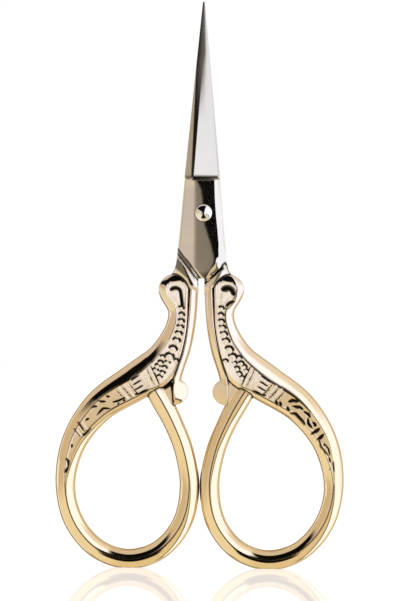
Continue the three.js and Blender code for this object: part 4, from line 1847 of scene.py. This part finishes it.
@dataclass
class Neck:
    """The collar and root that join the boss to the shank, crowned on both faces, cut by grooves, with
    painted shade.
    """

    handle: Handle
    blade: Blade
    low: float = 54.6
    high: float = 64.4
    rows: int = 110
    columns: int = 64
    depth: float = 1.72
    foot_share: float = 0.5
    foot_rise: float = 1.6
    crest: Point = (2.05, 57.0)
    crest_lean: float = 0.475
    crest_inset: float = 0.8
    crest_span: Point = (56.0, 62.2)
    crest_fade: Point = (0.8, 0.3)
    crest_reach: Size = (0.05, 0.055, 5.5)
    inner_fall: Point = (0.13, 0.02)
    outer_fall: Point = (0.10, 0.09)
    edge_round: float = 0.9
    edge_share: float = 0.3
    inner_round: float = 0.4
    inner_share: float = 0.75
    groove_depth: float = 0.34
    groove_fade: float = 0.5
    groove_drop: float = 0.25
    groove_line: Point = (0.2, 0.28)
    upper_wall: float = 0.55
    lower_wall: float = 0.32
    sunk_depth: float = 0.7
    sunk_fade: float = 0.25
    lap_band: float = 1.15
    lap_line: float = 0.5
    lap_line_reach: float = 0.12
    band_depth: float = 1.42
    band_middle: float = 2.6
    band_lean: float = 0.05
    band_step: float = 0.05
    band_fade: float = 0.35
    strip_dark: float = 0.6
    strip_fade: float = 0.1
    outside_dark: float = 0.76
    outside_top: float = 62.0
    outside_foot: Point = (55.2, 0.842)
    outside_fade: Size = (0.4, 0.6, 0.2)
    front_grooves: tuple[Line, ...] = (((0.8, 57.1), (4.15, 60.45)), ((1.5, 55.05), (4.9, 58.05)))
    back_grooves: tuple[Line, ...] = (((1.7, 54.95), (5.0, 57.65)),)
    outer_line: Line = (
        (54.6, 3.9), (55.6, 4.6), (57.0, 5.6), (58.2, 6.15), (59.0, 5.8),
        (59.8, 5.4), (61.0, 5.05), (62.1, 4.87), (64.4, 4.72),
    )

    @property
    def left(self) -> float:
        """Inner edge, at the gap between the shanks."""
        return self.handle.shank_gap / 2

    def right(self, z: np.ndarray) -> np.ndarray:
        """Outer edge at heights."""
        return through(z, self.outer_line)

    def ridge(self, z: np.ndarray) -> np.ndarray:
        """The highest line of the crowned face at heights."""
        crest = self.crest[0] + (z - self.crest[1]) * self.crest_lean
        return np.minimum(crest, self.right(z) - self.crest_inset)

    def face(self, x: np.ndarray, z: np.ndarray) -> np.ndarray:
        """Depth of the crowned face before the grooves are cut.

        Args:
            x: Places across.
            z: Heights.

        Returns:
            The depths.
        """
        aside = x - self.ridge(z)
        falls = [lean * np.abs(aside) + bend * aside**2 for lean, bend in (self.inner_fall, self.outer_fall)]
        rim = np.clip(1.0 - (self.right(z) - x) / self.edge_round, 0.0, 1.0)
        inner = np.clip(1.0 - (x - self.left) / self.inner_round, 0.0, 1.0)
        rounded = self.edge_share + (1.0 - self.edge_share) * np.sqrt(1.0 - rim**2)
        rounded = rounded * (self.inner_share + (1.0 - self.inner_share) * np.sqrt(1.0 - inner**2))
        return (self.depth - np.where(aside < 0, *falls)) * rounded

    def cut(self, x: np.ndarray, z: np.ndarray, line: Line) -> tuple[np.ndarray, np.ndarray, np.ndarray]:
        """Depth and painted shade of a V groove along a line.

        Args:
            x: Places across.
            z: Heights.
            line: The two ends of the groove.

        Returns:
            The depth of the cut, its painted shade, and the distance above the line.
        """
        (ax, az), (bx, bz) = line
        run = math.hypot(bx - ax, bz - az)
        along = ((x - ax) * (bx - ax) + (z - az) * (bz - az)) / run
        above = ((z - az) * (bx - ax) - (x - ax) * (bz - az)) / run
        ends = smooth((run - along) / self.groove_fade + 0.5)
        wall = np.where(above > 0, self.upper_wall, self.lower_wall)
        share = np.clip(1.0 - np.abs(above) / wall, 0.0, 1.0) * ends
        far = np.clip(along / run, 0.0, 1.0)
        least, growth = self.groove_line
        # Painted shade: a dark line in the groove, widening towards its far end.
        dark = soft_line(np.abs(above + self.groove_drop * far), least + growth * far) * ends
        return self.groove_depth * share, dark, above

    def grooved(
        self, x: np.ndarray, z: np.ndarray, grooves: tuple[Line, ...]
    ) -> tuple[np.ndarray, np.ndarray]:
        """Depth and painted shade of the crowned face with its grooves.

        Args:
            x: Places across.
            z: Heights.
            grooves: The lines of the grooves.

        Returns:
            The depth and the painted shade.
        """
        face, dark = self.face(x, z), np.zeros(x.shape)
        for line in grooves:
            depth, shade, _ = self.cut(x, z, line)
            face, dark = face - depth, np.maximum(dark, shade)
        return face, dark

    def front_face(self, x: np.ndarray, z: np.ndarray) -> tuple[np.ndarray, np.ndarray]:
        """Depth and painted shade of the front, which is sunk above its first groove.

        Args:
            x: Places across.
            z: Heights.

        Returns:
            The depth and the painted shade.
        """
        face, dark = self.grooved(x, z, self.front_grooves)
        above = self.cut(x, z, self.front_grooves[0])[2]
        return face + (self.sunk_depth - face) * smooth(above / self.sunk_fade), dark

    def back_face(self, x: np.ndarray, z: np.ndarray) -> tuple[np.ndarray, np.ndarray]:
        """Depth and painted shade of the back: a flat band under the lap edge, a painted dark ridge, a
        painted dark outer side.

        Args:
            x: Places across.
            z: Heights.

        Returns:
            The depth and the painted shade.
        """
        face, dark = self.grooved(x, z, self.back_grooves)
        foot, top = self.blade.lap_edge(self.blade.shoulder_gap, 0.0)
        below = -self.cut(x, z, ((-foot[0], foot[1]), (-top[0], top[1])))[2]
        band = smooth((self.lap_band - below) / self.band_fade)
        level = np.minimum(self.band_depth - self.band_lean * (x - self.band_middle), face - self.band_step)
        # Painted shade: a dark line and strip along the lap edge, a dark ridge and a dark outer side.
        line = soft_line(np.abs(below - self.lap_line), self.lap_line_reach)
        strip = self.strip_dark * smooth(below / self.strip_fade)
        strip = strip * smooth((self.lap_line - below) / self.strip_fade)
        aside = x - self.ridge(z)
        low, high = self.crest_span
        low_fade, high_fade = self.crest_fade
        least, growth, longest = self.crest_reach
        crest = soft_line(np.abs(aside), least + growth * np.clip(high - z, 0.0, longest))
        crest = crest * smooth((high - z) / high_fade) * smooth((z - low) / low_fade)
        start, slope = self.outside_foot
        top_fade, foot_fade, side_fade = self.outside_fade
        outside = smooth((self.outside_top - z) / top_fade) * smooth((z - start - slope * x) / foot_fade)
        outside = outside * smooth(aside / side_fade)
        crowned = np.maximum(crest, self.outside_dark * outside) * (1.0 - band)
        return face + (level - face) * band, np.maximum.reduce([dark, line, strip, crowned])

    def body(self) -> Solid:
        """The neck as one closed body.

        Returns:
            The closed body.
        """
        z = np.repeat(np.linspace(self.low, self.high, self.rows)[:, None], self.columns, 1)
        x = self.left + (self.right(z) - self.left) * np.linspace(0.0, 1.0, self.columns)
        dive = self.foot_share + (1.0 - self.foot_share) * smooth((z - self.low) / self.foot_rise)
        front, front_dark = self.front_face(x, z)
        back, back_dark = self.back_face(x, z)
        front, back = np.stack([x, -front * dive, z], 2), np.stack([x, back * dive, z], 2)
        rings = np.concatenate([front, back[:, ::-1]], 1)
        return Solid.loft("neck", rings, np.concatenate([front_dark, back_dark[:, ::-1]], 1))


@dataclass
class Rivet:
    """The round pivot with a low dome at each end."""

    x: float = 0.3
    radius: float = 1.15
    head: float = 1.7
    dome: float = 0.42
    dome_steps: int = 22
    dome_start: float = 3.0
    seat: float = 0.6
    running: float = 0.05
    clearance: float = 0.1
    hole_reach: float = 8.0
    facets: int = 72
    sharp: float = 30.0

    def hole(self, blade: Blade, x: float) -> Solid:
        """A cutter for the pivot hole of one half, with a seat for the head.

        Args:
            blade: The blade whose boss it goes through.
            x: Place of the pivot.

        Returns:
            The cutter.
        """
        seat = self.seat - blade.boss_depth
        wide, bore = self.head + self.clearance, self.radius + self.running
        profile = [(wide, -self.hole_reach), (wide, seat), (bore, seat), (bore, self.hole_reach)]
        return Solid.lathe("pivot_hole", profile, x, blade.pivot, self.facets)

    def build(self, blade: Blade, finish: bpy.types.Material) -> bpy.types.Object:
        """The rivet, dressed and on its body.

        Args:
            blade: The blade whose boss it goes through.
            finish: Its material.

        Returns:
            The piece.
        """
        seat = blade.boss_depth - self.seat + self.clearance / 2
        half: list[Point] = []
        for angle in np.radians(np.linspace(self.dome_start, 90, self.dome_steps)):
            half.append((self.head * math.sin(angle), blade.boss_depth + self.dome * math.cos(angle)))
        half += [(self.head, seat), (self.radius, seat)]
        profile = [(r, -y) for r, y in half] + [(r, y) for r, y in reversed(half)]
        body = Solid.lathe("rivet", profile, self.x, blade.pivot, self.facets)
        piece = body.finish("rivet", False, self.sharp)
        return dress(piece, "domed_rivet", "back", finish, Plating.NICKEL, "pivot_rivet")


@dataclass
class ScissorHalves:
    """The two halves, made from one blank that is turned half round for the back one."""

    handle: Handle
    ornament: Ornament
    blade: Blade
    neck: Neck
    rivet: Rivet
    sharp: float = 28.0
    touch_dark: float = 0.85
    touch_width: float = 0.42
    touch_span: Point = (12.5, 30.0)
    touch_fade: Size = (0.25, 2.0, 9.0)
    plain_below: float = 10.0
    plain_dark: float = 0.15
    knob_reach: float = 6.2
    knob_span: Point = (31.5, 36.7)

    def blank(self) -> Solid:
        """One half before its pivot hole is cut, with painted shade where the bows touch, kept faint round
        the knob's front.

        Returns:
            The closed body.
        """
        handle, blade = self.handle, self.blade
        body = handle.outer_body(self.ornament.carving(handle.outer()))
        neck = self.neck.body()
        neck.combine([blade.other_half()], Join.DIFFERENCE)
        limb, band = handle.inner_body(), handle.band_body()
        limb.combine([handle.web_body()], Join.UNION)
        band.combine([handle.knob_body(), neck], Join.UNION)
        # Painted shade along the lines where the shank meets the limb, the band and the blade.
        body.combine([limb, band, blade.body()], Join.UNION, 1.0)
        x, z = np.abs(body.points[:, 0]), body.points[:, 2]
        # Painted shade down the bows' inner sides where they touch.
        low, high = self.touch_span
        side_fade, low_fade, high_fade = self.touch_fade
        touch = self.touch_dark * smooth((self.touch_width - x) / side_fade)
        touch = touch * smooth((z - low) / low_fade) * smooth((high - z) / high_fade)
        body.dark = np.where(z < self.plain_below, 0.0, body.dark * (1.0 - touch) + touch)
        low, high = self.knob_span
        plain = (body.points[:, 1] < 0) & (x < self.knob_reach) & (z > low) & (z < high)
        body.dark = np.where(plain, np.minimum(body.dark, self.plain_dark), body.dark)
        return body

    def build(self, finish: bpy.types.Material) -> list[bpy.types.Object]:
        """Both halves, dressed and on their bodies.

        Args:
            finish: Their material.

        Returns:
            The front half and the back half.
        """
        front = self.blank()
        back = front.copy("back_blank")
        for half, x in ((front, self.rivet.x), (back, -self.rivet.x)):
            half.combine([self.rivet.hole(self.blade, x)], Join.DIFFERENCE)
        plain = front.finish("front_forging", False, self.sharp)
        turned = back.finish("back_forging", True, self.sharp)
        return [
            dress(plain, "front_forging", "front", finish, Plating.GOLD, "front_half"),
            dress(turned, "back_forging", "back", finish, Plating.GOLD, "back_half"),
        ]


@dataclass
class Studio:
    """A white floor, a room of pale and dark fields that the plating reflects, a lamp and the camera."""

    distance: float = 1.0
    target: Point = (-0.00014, 0.0535)
    roll: float = 0.54
    picture_height: float = 0.1202
    sensor: float = 36.0
    clip: Point = (0.01, 50.0)
    floor_size: float = 3.0
    floor_tone: Rgb = (0.9, 0.9, 0.9)
    floor_lift: float = 0.58
    floor_gloss: float = 0.49
    floor_rough: float = 0.03
    floor_ior: float = 1.45
    fill_strength: float = 1.0
    fill_spread: float = 20.0
    fill_turn: Point = (80.0, -25.0)
    white: Rgb = (1.0, 1.0, 1.0)
    black: Rgb = (0.0, 0.0, 0.0)
    left: Rgb = (0.66, 0.54, 0.37)
    left_near: Rgb = (0.74, 0.63, 0.60)
    low_left: Rgb = (0.90, 0.79, 0.56)
    low: Rgb = (0.80, 0.65, 0.41)
    near: Rgb = (0.28, 0.24, 0.20)
    right: Rgb = (1.18, 1.20, 1.42)
    top: Rgb = (0.70, 0.60, 0.50)
    beige: Rgb = (0.88, 0.79, 0.68)
    seam: Rgb = (0.16, 0.14, 0.08)
    edge: Rgb = (0.42, 0.31, 0.19)
    right_edge: Rgb = (0.66, 0.54, 0.40)
    flag: Rgb = (0.004, 0.0035, 0.003)

    def floor(self) -> None:
        """The plain white floor, which keeps the shadow and a faint mirror image and isn't reflected."""
        reach = self.floor_size
        mesh = bpy.data.meshes.new("floor")
        corners = [(-reach, -reach, 0.0), (reach, -reach, 0.0), (reach, reach, 0.0), (-reach, reach, 0.0)]
        mesh.from_pydata(corners, [], [(0, 1, 2, 3)])
        thing = new_object("floor", mesh)
        material = bpy.data.materials.new("pale_floor")
        material.use_nodes = True
        graph = Graph(material.node_tree)
        matt = graph.node("ShaderNodeBsdfDiffuse", {"Color": (*self.floor_tone, 1.0)})
        rays = graph.node("ShaderNodeLightPath").outputs
        camera, glossy = (Signal(graph, rays[f"Is {kind} Ray"]) for kind in ("Camera", "Glossy"))
        glow = graph.mix(camera.most(glossy), self.black, self.white)
        lift = graph.node("ShaderNodeEmission", {"Color": glow, "Strength": self.floor_lift})
        lit = graph.node("ShaderNodeAddShader", {0: matt.outputs[0], 1: lift.outputs[0]})
        gloss = graph.node(
            "ShaderNodeBsdfGlossy", {"Color": (*self.white, 1.0), "Roughness": self.floor_rough}
        )
        film = self.floor_gloss * graph.signal("ShaderNodeFresnel", "Fac", {"IOR": self.floor_ior})
        graph.surface(graph.node("ShaderNodeMixShader", {0: film, 1: lit.outputs[0], 2: gloss.outputs[0]}))
        mesh.materials.append(material)
        thing.visible_glossy = False

    def room(self) -> None:
        """The world: white at the right, warm at the left, with a dark gap above and below the camera.

        It is drawn in degrees, by the turn about the camera's axis and the angle away from it, and again
        behind the object. Each field is painted over the ones before it.
        """
        world = bpy.data.worlds.new("studio")
        bpy.context.scene.world = world
        world.use_nodes = True
        graph = Graph(world.node_tree)
        direction = graph.node("ShaderNodeTexCoord").outputs["Generated"]
        axes = graph.node("ShaderNodeSeparateXYZ", {0: direction}).outputs
        x, y, z = (Signal(graph, axes[name]) for name in "XYZ")
        degree = 180.0 / math.pi
        ahead = 2.0 * graph.math("LESS_THAN", y, 0.1) - 1.0
        turn = graph.math("ARCTAN2", x * ahead, z) * degree
        away = graph.math("ARCCOSINE", abs(y)) * degree
        border = turn - 0.62 * away - 98.0
        late = turn - 3.0 * (12.0 - away).most(0.0)
        wing = turn.step(-44.0, -54.0) * away.step(14.0, 10.0)
        fan = turn.step(-60.0, -50.0) * late.step(25.0, 19.0) * (1.0 - wing)
        spread = away - 0.55 * (-30.0 - turn).most(0.0)
        wedge = abs(turn).step(148.0, 156.0) * away.step(29.0, 22.0)
        flags = wedge.most(fan * spread.step(48.0, 41.0)).most(away.step(3.6, 2.4))
        pale = turn.step(66.0, 50.0) * away.step(30.0, 52.0) * away.step(106.0, 84.0)
        fields = [
            (away.step(24.0, 14.0), self.left_near),
            (turn.step(-90.0, -108.0), self.low_left),
            (turn.step(-155.0, -170.0), self.low),
            (fan, self.top),
            (turn.step(15.0, 5.0) * away.step(11.0, 5.0), self.near),
            (border.step(-2.0, 2.0), self.low),
            (late.step(19.0, 25.0) * border.step(2.0, -2.0), graph.mix(pale, self.right, self.beige)),
            (abs(border).step(5.0, 3.0) * away.step(4.0, 9.0), self.seam),
            (flags, self.flag),
            (y.step(0.2, 0.35) * y.step(0.9, 0.8), graph.mix(x.step(0.0, 0.3), self.edge, self.right_edge)),
            (y.step(0.94, 0.98), self.white),
            (abs(z).step(0.12, 0.08) * abs(y).step(0.3, 0.2), self.white),
            (graph.signal("ShaderNodeLightPath", "Is Camera Ray"), self.white),
        ]
        tone: Paint = self.left
        for share, colour in fields:
            tone = graph.mix(share, tone, colour)
        light = graph.node("ShaderNodeBackground", {"Color": tone, "Strength": 1.0})
        graph.surface(light, "ShaderNodeOutputWorld")

    def fill(self) -> None:
        """A soft lamp from the front left that no reflection shows, so it lights only the matt ground."""
        data = bpy.data.lights.new("fill", "SUN")
        data.energy = self.fill_strength
        data.angle = math.radians(self.fill_spread)
        thing = new_object("fill", data)
        tilt, turn = (math.radians(angle) for angle in self.fill_turn)
        thing.rotation_euler = (tilt, 0.0, turn)
        thing.visible_glossy = False

    def camera(self) -> None:
        """A long lens straight in front, rolled a little."""
        data = bpy.data.cameras.new("camera")
        data.type = "PERSP"
        data.sensor_width = self.sensor
        data.lens = self.sensor * self.distance / self.picture_height
        data.clip_start, data.clip_end = self.clip
        thing = new_object("camera", data)
        place = Matrix.Translation((self.target[0], -self.distance, self.target[1]))
        turn = Matrix.Rotation(math.radians(90), 4, "X") @ Matrix.Rotation(math.radians(self.roll), 4, "Z")
        thing.matrix_world = place @ turn
        bpy.context.scene.camera = thing

    def build(self) -> None:
        """Sets up the whole studio."""
        self.floor()
        self.room()
        self.fill()
        self.camera()
        bpy.context.scene.view_settings.view_transform = "Standard"


def main() -> None:
    """Builds every piece in order, then the studio."""
    logging.basicConfig(level=logging.INFO, format="%(name)s: %(message)s")
    handle = Handle()
    ornament = Ornament(handle)
    blade = Blade(handle.crotch)
    rivet = Rivet()
    plating = PlatedMetal("plated_metal").material()
    relief = PlatedMetal("plated_relief", low_ground=PlatedMetal.ground).material()
    bright = PlatedMetal("bright_nickel", nickel=(0.92, 0.96, 1.0)).material()
    pieces = ScissorHalves(handle, ornament, blade, Neck(handle, blade), rivet).build(plating)
    pieces += [ornament.build(body, kind, relief) for body in ("front", "back") for kind in Stud]
    pieces.append(rivet.build(blade, bright))
    for piece in pieces:
        LOG.info("%s: %d faces", piece.name, len(piece.data.polygons))
    Studio().build()


if __name__ == "__main__":
    main()
